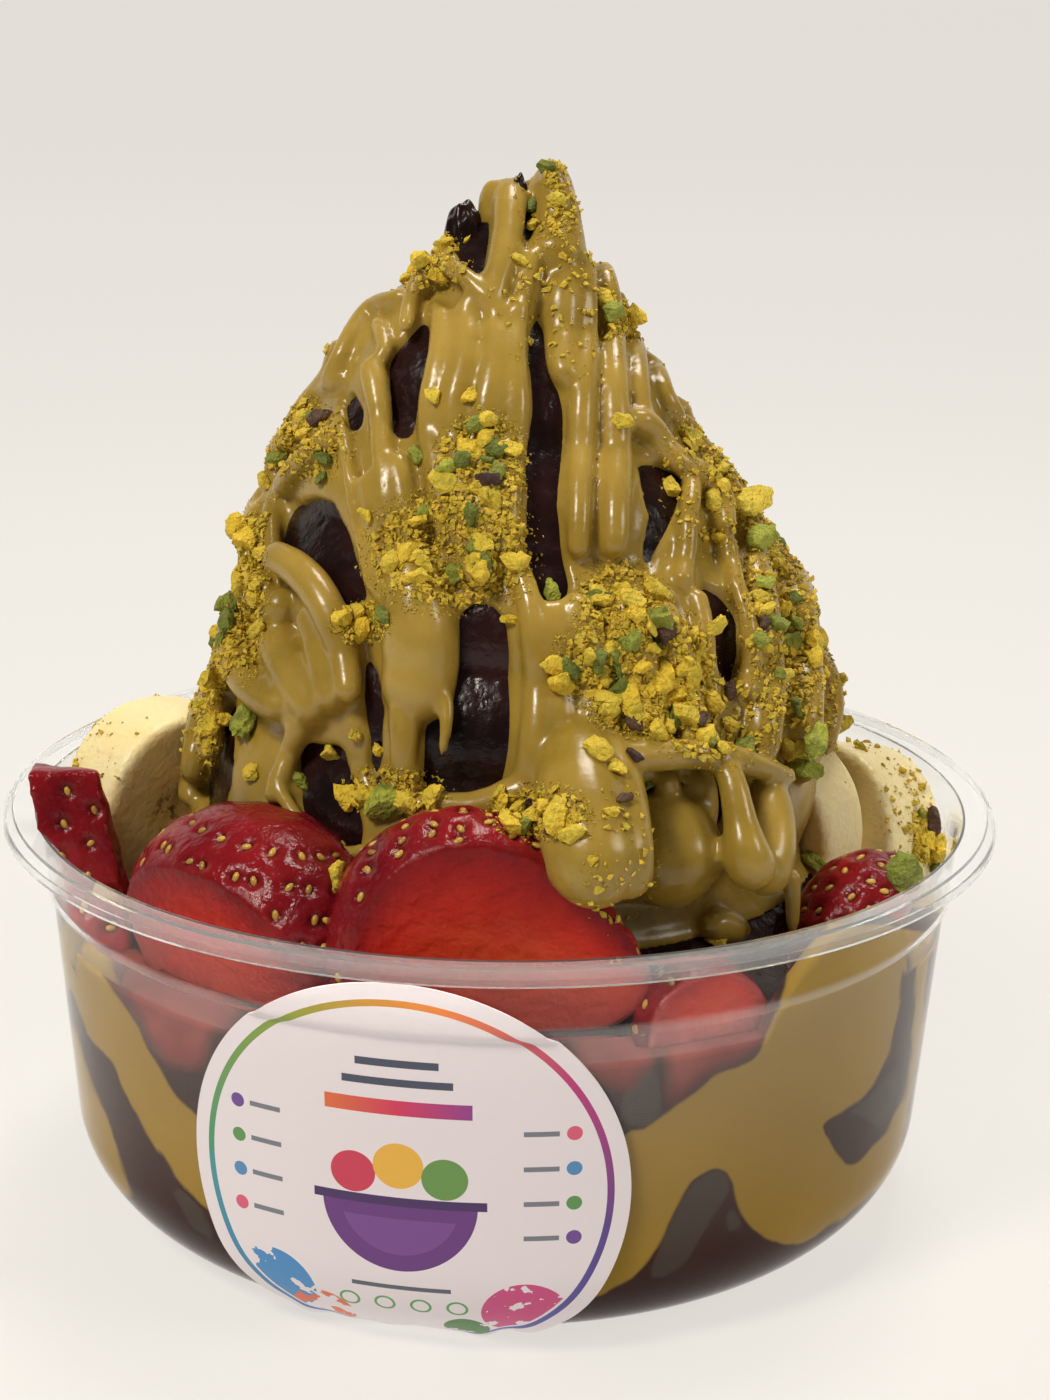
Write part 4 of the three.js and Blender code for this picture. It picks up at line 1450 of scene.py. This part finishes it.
def chunk(seed, detail, rough):
    """A chopped piece: a ball with a few flat breaks in it and a crumbly face."""
    draw = np.random.RandomState(seed)
    ball = primitive("chunk", bpy.ops.mesh.primitive_ico_sphere_add, subdivisions=detail)
    points = points_of(ball)
    points /= np.linalg.norm(points, axis=1, keepdims=True)
    for _ in range(6):
        way = unit(draw.normal(size=3))
        over = np.maximum(points @ way - draw.uniform(0.5, 0.75), 0)
        points -= over[:, None] * way
    lumps = np.sin(points @ draw.normal(size=(3, 3)) * 4.5 + draw.uniform(0, 6, 3)).sum(1) / 3
    points *= (1 + 0.12 * lumps + draw.uniform(-rough, rough, len(points)))[:, None]
    ball.data.vertices.foreach_set("co", points.ravel())
    return shape_of(ball)


CHUNK_SHAPES = [chunk(seed, 2, 0.2) for seed in range(10)]
HERO_SHAPES = [chunk(seed, 3, 0.09) for seed in range(50, 60)]
CRUMB_SHAPES = [chip(seed, 9) for seed in range(20, 28)]
DUST_SHAPES = [chip(seed, 5) for seed in range(40, 44)]

ground = []
for piece in bpy.data.objects:
    if piece.type == "MESH" and "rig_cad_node" not in piece and piece.name != "strawberry_seeds":
        ground.append(piece)
tree_points = []
tree_faces = []
for piece in ground:
    piece.data.calc_loop_triangles()
    start = len(tree_points)
    tree_points += [tuple(vertex.co) for vertex in piece.data.vertices]
    tree_faces += [tuple(start + k for k in face.vertices) for face in piece.data.loop_triangles]
ground_tree = BVHTree.FromPolygons(tree_points, tree_faces, all_triangles=True)
print("nuts fall on", [piece.name for piece in ground])

# %% Where the nuts lie
# One nut each: pixel x, pixel y, its width in pixels.
SINGLES = {
    "yellow": [
        (622, 423, 26), (688, 446, 22), (723, 487, 24), (718, 535, 22), (759, 597, 22), (757, 611, 20),
        (713, 625, 24), (446, 246, 22), (581, 200, 20), (518, 260, 18), (536, 225, 16), (434, 396, 22),
        (470, 397, 20), (487, 421, 22), (241, 529, 34), (281, 455, 20), (306, 434, 20), (267, 480, 22),
        (368, 515, 18), (510, 620, 18), (551, 664, 24), (599, 600, 32), (656, 593, 30), (674, 698, 24),
        (778, 506, 44), (333, 753, 24), (348, 797, 28), (433, 799, 26), (334, 876, 28), (596, 752, 30),
        (952, 772, 14), (936, 868, 20), (948, 850, 22), (562, 680, 34), (598, 594, 26), (706, 738, 30),
        (560, 818, 34), (500, 806, 24), (534, 822, 26), (710, 700, 32), (356, 735, 18), (379, 749, 18),
        (715, 942, 26), (614, 768, 22), (254, 772, 24), (575, 836, 26), (610, 812, 18), (500, 795, 20),
    ],
    "green": [
        (420, 454, 24), (322, 478, 20), (759, 640, 22), (564, 671, 32), (784, 542, 36), (789, 648, 40),
        (821, 623, 20), (798, 708, 22), (810, 740, 40), (302, 781, 26), (596, 660, 24), (249, 725, 50),
        (388, 806, 52), (661, 620, 42), (804, 765, 38), (646, 784, 16), (235, 600, 20), (221, 640, 20),
        (906, 876, 52), (816, 860, 34), (551, 594, 26), (934, 862, 24),
    ],
    "skin": [
        (632, 757, 20), (622, 799, 18), (524, 806, 18), (553, 828, 18), (668, 634, 24), (700, 720, 18),
    ],
}
# Scattered chips: the middle and the two half sizes of an oval in pixels, and how many chunks and crumbs.
CLUSTERS = [
    (482, 466, 42, 46, 16, 230),
    (452, 552, 76, 52, 18, 500),
    (362, 622, 26, 18, 6, 100),
    (640, 662, 70, 50, 26, 560),
    (620, 600, 40, 34, 8, 170),
    (648, 708, 50, 26, 14, 260),
    (540, 812, 42, 24, 10, 150),
    (390, 790, 50, 20, 4, 110),
    (244, 590, 20, 76, 12, 260),
    (208, 690, 14, 70, 8, 160),
    (300, 440, 44, 36, 6, 130),
    (790, 600, 48, 100, 12, 260),
    (658, 318, 12, 20, 3, 80),
    (552, 190, 30, 46, 2, 130),
    (430, 262, 34, 26, 2, 60),
    (566, 300, 60, 60, 0, 60),
    (710, 480, 46, 60, 4, 100),
    (620, 860, 40, 60, 0, 30),
    (720, 720, 60, 40, 6, 100),
    (954, 838, 18, 24, 4, 160),
    (922, 812, 34, 44, 0, 34),
    (800, 700, 36, 60, 4, 90),
]
DUST_PER_CRUMB = 4.0
STRAY = 0.15  # the share of the crumbs over a window that stays on the bare acai
HIDDEN_CHUNKS = 130
HIDDEN_CRUMBS = 2600
# On the hidden sides most chips lie in heaps, at these angles and heights.
HEAPS = np.array([
    (98, 84), (118, 66), (128, 104), (150, 78), (168, 122), (186, 66),
    (204, 92), (226, 72), (246, 100), (262, 70),
])
HEAP_SPREAD = (10, 7)
GATHERED = 0.72
NUT_PIXEL = 0.138  # mm that a pixel spans on the front of the swirl
# Sizes in mm of the chips that aren't placed one by one.
CHUNK_SIZES = (2.2, 4.4)
HIDDEN_CHUNK_SIZES = (2.2, 4.6)
CRUMB_SIZES = (0.5, 1.5)
DUST_SIZES = (0.25, 0.65)


def cast(starts, ways):
    """Where rays, in mm, first meet the food: places, outward ways, and which rays met it.

    A ray that passes just beside the food is turned towards the swirl until it meets it.
    """
    places, normals, met = [], [], []
    for start, way in zip(starts, ways):
        for turned in (0.0, 0.01, 0.02, 0.03):
            bent = unit((way[0] - turned * np.sign(way[0]), way[1], way[2]))
            place, normal, _, _ = ground_tree.ray_cast(Vector(start * MM), Vector(bent))
            if place is not None:
                break
        met.append(place is not None)
        if place is not None:
            places.append(np.array(place) / MM)
            normals.append(np.array(normal))
    return np.array(places), np.array(normals), np.array(met)


def scattered(count, spread, middle, half_sizes):
    """Pixels drawn at random in an oval."""
    turn = draw.uniform(0, 2 * np.pi, count)
    reach = np.sqrt(draw.uniform(0, 1, count)) * spread
    x = middle[0] + half_sizes[0] * reach * np.cos(turn)
    y = middle[1] + half_sizes[1] * reach * np.sin(turn)
    return np.stack([x, y], 1)


draw = np.random.RandomState(5)
spots = {"yellow": [], "green": [], "skin": [], "crumbs": [], "dust": []}
KINDS = ["yellow"] * 12 + ["green"] * 4 + ["skin"]
for kind, rows in SINGLES.items():
    spots[kind] += [(x, y, wide * NUT_PIXEL) for x, y, wide in rows]
for x, y, half_wide, half_high, chunks, crumbs in CLUSTERS:
    oval = (x, y), (half_wide, half_high)
    for px, py in scattered(chunks, 0.95, *oval):
        spots[KINDS[draw.randint(len(KINDS))]].append((px, py, draw.uniform(*CHUNK_SIZES)))
    for px, py in scattered(int(crumbs * 1.5), 1.05, *oval):
        spots["crumbs"].append((px, py, draw.uniform(*CRUMB_SIZES)))
    for px, py in scattered(int(crumbs * DUST_PER_CRUMB), 1.3, *oval):
        spots["dust"].append((px, py, draw.uniform(*DUST_SIZES)))

nut_places = {}
for kind, rows in spots.items():
    rows = np.array(rows)
    places, normals, met = cast(np.tile(EYE, (len(rows), 1)), sight(rows[:, :2]))
    sizes = rows[met, 2]
    if kind in ("crumbs", "dust"):
        stuck = (openness(places) < 0.3) | (draw.uniform(0, 1, len(places)) < STRAY)
        places, normals, sizes = places[stuck], normals[stuck], sizes[stuck]
    hidden = {"yellow": HIDDEN_CHUNKS, "green": HIDDEN_CHUNKS // 2, "skin": 12}.get(kind, HIDDEN_CRUMBS)
    hidden = hidden * 3 if kind == "dust" else hidden
    angles = draw.uniform(85, 275, hidden)
    heights = 58 + 82 * draw.uniform(0, 1, hidden) ** 1.6
    gathered = draw.uniform(0, 1, hidden) < GATHERED
    heap = HEAPS[draw.randint(len(HEAPS), size=hidden)] + draw.normal(0, 1, (hidden, 2)) * HEAP_SPREAD
    angles = np.where(gathered, heap[:, 0], angles)
    heights = np.where(gathered, np.clip(heap[:, 1], 58, 150), heights)
    starts = polar(angles, 100.0, heights)
    back_places, back_normals, met = cast(starts, -polar(angles, 1.0, 0.0))
    low, high = {"crumbs": CRUMB_SIZES, "dust": DUST_SIZES}.get(kind, HIDDEN_CHUNK_SIZES)
    back_sizes = draw.uniform(low, high, len(back_places))
    nut_places[kind] = (
        np.vstack([places, back_places]),
        np.vstack([normals, back_normals]),
        np.concatenate([sizes, back_sizes]),
    )
    print(kind, len(nut_places[kind][0]), "chips")


# %% Nuts and their finish
def nut_look(name, first, second, rough_colour):
    finish = Finish(name)
    tinted = finish.blend(finish.attribute("tint"), first, second)
    patchy = finish.step(finish.noise(420, 4), 0.48, 0.66)
    shader = finish.surface(
        Base_Color=finish.blend(patchy * 0.6, tinted, rough_colour),
        Roughness=0.7,
        Normal=finish.bump(finish.noise(1500, 5) + finish.noise(600, 4) * 1.5, 0.0009, 1.0),
    )
    return finish.finish(shader)


CHIP_EDGE = 34  # degrees above which a chip's edge stays sharp
NUT_LOOKS = {
    "yellow": ("nut_yellow", nut_look("nut yellow", rgb(244, 204, 50), rgb(224, 196, 62), rgb(188, 172, 46))),
    "green": ("nut_green", nut_look("nut green", rgb(104, 114, 36), rgb(178, 182, 62), rgb(84, 92, 30))),
    "skin": ("nut_skin", nut_look("nut skin", rgb(74, 44, 38), rgb(104, 76, 52), rgb(54, 34, 34))),
    "crumbs": ("nut_yellow", nut_look("nut crumbs", rgb(232, 194, 50), rgb(196, 172, 46), rgb(238, 204, 84))),
    "dust": ("nut_yellow", nut_look("nut dust", rgb(224, 190, 54), rgb(194, 170, 50), rgb(212, 176, 66))),
}
for number, (kind, (slot, look)) in enumerate(NUT_LOOKS.items()):
    places, ways, sizes = nut_places[kind]
    draw = np.random.RandomState(60 + number)
    stretch = draw.uniform((0.36, 0.5, 0.28), (0.5, 0.68, 0.42), (len(places), 3))
    sizes = sizes[:, None] * stretch
    leaning = ways + draw.normal(0, 0.35, ways.shape)
    resting = places + ways * sizes[:, 2:] * 0.45
    heroes = len(SINGLES.get(kind, []))
    shapes = {"crumbs": CRUMB_SHAPES, "dust": DUST_SHAPES}.get(kind, CHUNK_SHAPES)
    nuts = copies("rest", shapes, resting[heroes:], leaning[heroes:], sizes[heroes:], 80 + number)
    if heroes:
        first = copies("heroes", HERO_SHAPES, resting[:heroes], leaning[:heroes], sizes[:heroes], 90 + number)
        nuts = joined("nuts", [nuts, first])
    named(nuts, "pistachio_" + kind)
    smooth(nuts, CHIP_EDGE)
    if heroes:
        finished(nuts, look, slot, "acai_swirl")
    else:
        finished(nuts, look, slot)

# %% [markdown]
# The bowl is one sheet of clear plastic, drawn as half of its section and spun round the axis, as it would be
# turned. Its shader is glass that light may pass without bending on its way to the food. Without that, glass
# keeps lamps out and the food behind it would be dark.

# %% Bowl
outside = outer_line(16)
section = np.vstack([outside, inset(outside, SHEET)[::-1]])
mesh = bpy.data.meshes.new("clear_bowl")
corners = [(radius * MM, 0, height * MM) for radius, height in section]
mesh.from_pydata(corners, [(k, k + 1) for k in range(len(corners) - 1)], [])
bowl = added("clear_bowl", mesh)
bpy.ops.object.mode_set(mode="EDIT")
bpy.ops.mesh.select_all(action="SELECT")
bpy.ops.mesh.spin(steps=160, angle=2 * math.pi, center=(0, 0, 0), axis=(0, 0, 1))
bpy.ops.object.mode_set(mode="OBJECT")
outwards(bowl)
smooth(bowl, 35)

points = points_of(bowl) / MM
radius = np.hypot(points[:, 0], points[:, 1])
# The flange and the bend of the step are painted paler: partly the plastic's own milkiness where it is bent,
# partly painted highlight.
flange = np.clip((radius - (RIM_RADIUS - FLANGE - 1.2)) / 1.2, 0, 1) * (points[:, 2] > HEIGHT - 4)
bent = (np.abs(points[:, 2] - STEP_HEIGHT) < 0.9) * (radius > 60)
paint(bowl, "pale", np.maximum(flange, bent))

finish = Finish("clear plastic")
lamps = finish.node("ShaderNodeLightPath", output="Is Shadow Ray")
glass = finish.surface(
    Base_Color=(0.97, 0.98, 0.98, 1),
    Roughness=0.0,
    IOR=1.18,
    Transmission_Weight=1.0,
    Normal=finish.bump(finish.noise(60), 0.0004, 0.15),
)
# A whitish sheet mixed into the glass at the flange and the step: partly milky plastic, partly painted
# highlight.
pale = finish.surface(Base_Color=(0.78, 0.79, 0.8, 1), Roughness=0.12)
glass = finish.node("ShaderNodeMixShader", inputs={0: finish.attribute("pale") * 0.12, 1: glass, 2: pale})
through = finish.node("ShaderNodeBsdfTransparent", inputs={"Color": (0.95, 0.96, 0.96, 1)})
shader = finish.node("ShaderNodeMixShader", inputs={0: lamps, 1: glass, 2: through})
finished(bowl, finish.finish(shader), "clear_plastic", "bowl")

# %% [markdown]
# The label is thin paper, cut round and pasted on a wall that curves two ways, so it wrinkles where it turns
# under. A grid becomes a disc, each of its points walks down the wall's own line, and the wrinkles rise
# towards the bottom edge.

# %% Label
LABEL_DIAMETER = 62
LABEL_TOP = 57.4
LABEL_AT = -11
LABEL_THICK = 0.25
OFF_WALL = 0.3

cells = {"x_subdivisions": 96, "y_subdivisions": 96}
label = primitive("paper_label", bpy.ops.mesh.primitive_grid_add, size=2, **cells)
flat = points_of(label)
disc_x = flat[:, 0] * np.sqrt(1 - flat[:, 1] ** 2 / 2)
disc_y = flat[:, 1] * np.sqrt(1 - flat[:, 0] ** 2 / 2)
wall_line = inset(outer_line(16)[:-4], -OFF_WALL)[3:][::-1]
steps = np.concatenate([[0], np.cumsum(np.linalg.norm(np.diff(wall_line, axis=0), axis=1))])
starting = np.interp(LABEL_TOP, wall_line[::-1, 1], steps[::-1])
down = starting + LABEL_DIAMETER / 2 * (1 - disc_y)
radius = np.interp(down, steps, wall_line[:, 0])
height = np.interp(down, steps, wall_line[:, 1])
slope = np.stack([np.gradient(np.interp(steps, steps, wall_line[:, k]), steps) for k in (0, 1)], 1)
out_radius = -np.interp(down, steps, slope[:, 1])
out_height = np.interp(down, steps, slope[:, 0])
edge_share = np.clip((-disc_y - 0.55) / 0.45, 0, 1) ** 1.5
wave = np.sin(disc_x * 17 + 3 * disc_y) + 0.6 * np.sin(disc_x * 31 - 5 * disc_y)
wrinkle = edge_share * 0.4 * (1.6 + wave) * np.clip(np.abs(disc_x) * 3, 0.3, 1)
angle = LABEL_AT + np.degrees(disc_x * LABEL_DIAMETER / 2 / radius)
place_points(label, polar(angle, radius + out_radius * wrinkle, height + out_height * wrinkle))
across = label.data.uv_layers.active.data
for loop in label.data.loops:
    spot = loop.vertex_index
    across[loop.index].uv = (0.5 + disc_x[spot] / 2, 0.5 + disc_y[spot] / 2)
modify(label, "SOLIDIFY", thickness=LABEL_THICK * MM, offset=1)
outwards(label)
smooth(label, 50)

# %% Label print
finish = Finish("label paper")
uv = finish.node("ShaderNodeUVMap")
moved = {"Vector": uv, "Location": (-0.5, -0.5, 0.0)}
centred = finish.node("ShaderNodeMapping", {"vector_type": "POINT"}, moved)
parts = finish.node("ShaderNodeSeparateXYZ", inputs={0: centred})
px = Wire(finish, parts.socket.node.outputs[0])
py = Wire(finish, parts.socket.node.outputs[1])


def length_of(x, y):
    return finish.node("ShaderNodeMath", {"operation": "SQRT"}, {0: x * x + y * y})


def disc(x, y, radius):
    return length_of(px - x, py - y) < radius


def near(value, middle, half):
    return finish.node("ShaderNodeMath", {"operation": "ABSOLUTE"}, {0: value - middle}) < half


def bar(x, y, half_wide, half_high):
    return near(px, x, half_wide) * near(py, y, half_high)


rim = length_of(px, py)
circle = finish.node("ShaderNodeMath", {"operation": "ARCTAN2"}, {0: py, 1: px}) / (2 * math.pi) + 0.5
hues = [
    (0.0, rgb(60, 150, 150)), (0.16, rgb(60, 120, 190)), (0.3, rgb(70, 90, 170)), (0.47, rgb(90, 60, 140)),
    (0.6, rgb(190, 50, 120)), (0.72, rgb(232, 130, 50)), (0.84, rgb(140, 160, 50)), (1.0, rgb(60, 150, 110)),
]
ring_colour = finish.node("ShaderNodeValToRGB", {"stops": hues}, {0: circle})
warm = [(0.3, rgb(226, 120, 40)), (0.5, rgb(214, 50, 90)), (0.7, rgb(120, 60, 150))]
warm_colour = finish.node("ShaderNodeValToRGB", {"stops": warm}, {0: px + 0.5})
soft = finish.noise(260, 4)
PAPER_WHITE = rgb(236, 226, 230)
paint_on = finish.blend((rim > 0.447) * (rim < 0.463), PAPER_WHITE, ring_colour)
marks = [
    (disc(-0.3, -0.3, 0.1) * (soft > 0.45) * (rim < 0.44), rgb(70, 140, 200)),
    (disc(-0.19, -0.37, 0.075) * (soft > 0.5) * (rim < 0.44), rgb(226, 110, 70)),
    (disc(0.27, -0.32, 0.1) * (soft > 0.45) * (rim < 0.44), rgb(206, 70, 130)),
    (disc(0.13, -0.39, 0.05) * (soft > 0.42), rgb(80, 130, 70)),
    (disc(0, -0.03, 0.17) * (py < -0.03), rgb(104, 52, 128)),
    (disc(0, -0.03, 0.13) * (py < -0.07), rgb(122, 70, 146)),
    (bar(0, -0.028, 0.19, 0.011), rgb(70, 38, 98)),
    (disc(-0.1, 0.035, 0.05), rgb(206, 56, 84)),
    (disc(0.0, 0.06, 0.055), rgb(236, 180, 66)),
    (disc(0.1, 0.035, 0.05), rgb(104, 150, 74)),
    (bar(0, 0.2, 0.16, 0.018), warm_colour),
    (bar(0, 0.26, 0.12, 0.009), rgb(70, 76, 96)),
    (bar(0, 0.305, 0.09, 0.009), rgb(70, 76, 96)),
    (bar(0, -0.245, 0.11, 0.006), rgb(90, 96, 110)),
]
for step in range(4):
    level = 0.15 - 0.085 * step
    tints = [rgb(110, 70, 150), rgb(90, 150, 80), rgb(80, 140, 190), rgb(220, 90, 120)]
    marks.append((disc(-0.375, level, 0.017), tints[step]))
    marks.append((bar(-0.305, level, 0.038, 0.006), rgb(120, 124, 134)))
    marks.append((disc(0.375, level, 0.017), tints[3 - step]))
    marks.append((bar(0.305, level, 0.038, 0.006), rgb(120, 124, 134)))
    marks.append((disc(-0.12 + 0.08 * step, -0.3, 0.024), rgb(96, 160, 90)))
    marks.append((disc(-0.12 + 0.08 * step, -0.3, 0.018), PAPER_WHITE))
for mask, colour in marks:
    paint_on = finish.blend(mask, paint_on, colour)
shader = finish.surface(
    Base_Color=paint_on,
    Roughness=0.42,
    Normal=finish.bump(finish.noise(500), 0.0002, 0.3),
)
finished(label, finish.finish(shader), "label_paper", "label")

# %% [markdown]
# The floor and the backdrop are one pale sheet that curves up far behind the bowl, so there is no horizon.
# The sheet glows a little, which keeps it as even as the photograph's plain ground. Soft lamps stand above,
# to the left and to the right, and a low pale world light keeps the shadows open.

# %% Stage and lamps
PAPER = rgb(233, 229, 222)
SWEEP_AT = 1.6
SWEEP_RADIUS = 1.2
sweep = primitive("floor", bpy.ops.mesh.primitive_grid_add, x_subdivisions=2, y_subdivisions=96, size=1)
flat = points_of(sweep)
along = (flat[:, 1] + 0.5) * 12 - 7
turn = np.clip((along - SWEEP_AT) / SWEEP_RADIUS, 0, np.pi / 2)
above = np.maximum(along - SWEEP_AT - SWEEP_RADIUS * np.pi / 2, 0)
depth = np.minimum(along, SWEEP_AT) + SWEEP_RADIUS * np.sin(turn)
height = SWEEP_RADIUS * (1 - np.cos(turn)) + above - 0.0002
place_points(sweep, np.stack([flat[:, 0] * 12, depth, height], 1) / MM)
smooth(sweep)
finish = Finish("backdrop paper")
paper = finish.surface(
    Base_Color=opaque(tuple(value * 0.22 for value in PAPER)),
    Roughness=0.9,
    Emission_Color=opaque(PAPER),
    Emission_Strength=0.86,
)
sweep.data.materials.append(finish.finish(paper))
sweep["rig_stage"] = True

LAMPS = {
    "key": ((-0.4, -0.45, 0.75), 0.2, 5.6, (1.0, 0.95, 0.86)),
    "right": ((0.6, -0.25, 0.45), 0.2, 1.3, (1.0, 0.95, 0.88)),
    "over": ((0.12, 0.22, 0.8), 0.25, 3.2, (1.0, 0.96, 0.9)),
}
for name, (place, size, power, colour) in LAMPS.items():
    deselect()
    bpy.ops.object.light_add(type="AREA", location=place)
    lamp = bpy.context.object
    lamp.name = "lamp_" + name
    lamp.data.size = size
    lamp.data.energy = power
    lamp.data.color = colour
    lamp.rotation_euler = (Vector((0, 0, 0.07)) - Vector(place)).to_track_quat("-Z", "Y").to_euler()

world = bpy.data.worlds.new("studio")
bpy.context.scene.world = world
world.use_nodes = True
world.node_tree.nodes["Background"].inputs["Color"].default_value = (*rgb(226, 224, 220), 1)
world.node_tree.nodes["Background"].inputs["Strength"].default_value = 0.12
bpy.context.scene.view_settings.view_transform = "Standard"

# %% Keep the two sizes, and finish
visual_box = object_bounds()
sizes = {"cad": [list(corner) for corner in cad_box], "visual": [list(corner) for corner in visual_box]}
print("visual box in mm:", [[round(value / MM, 1) for value in corner] for corner in visual_box])
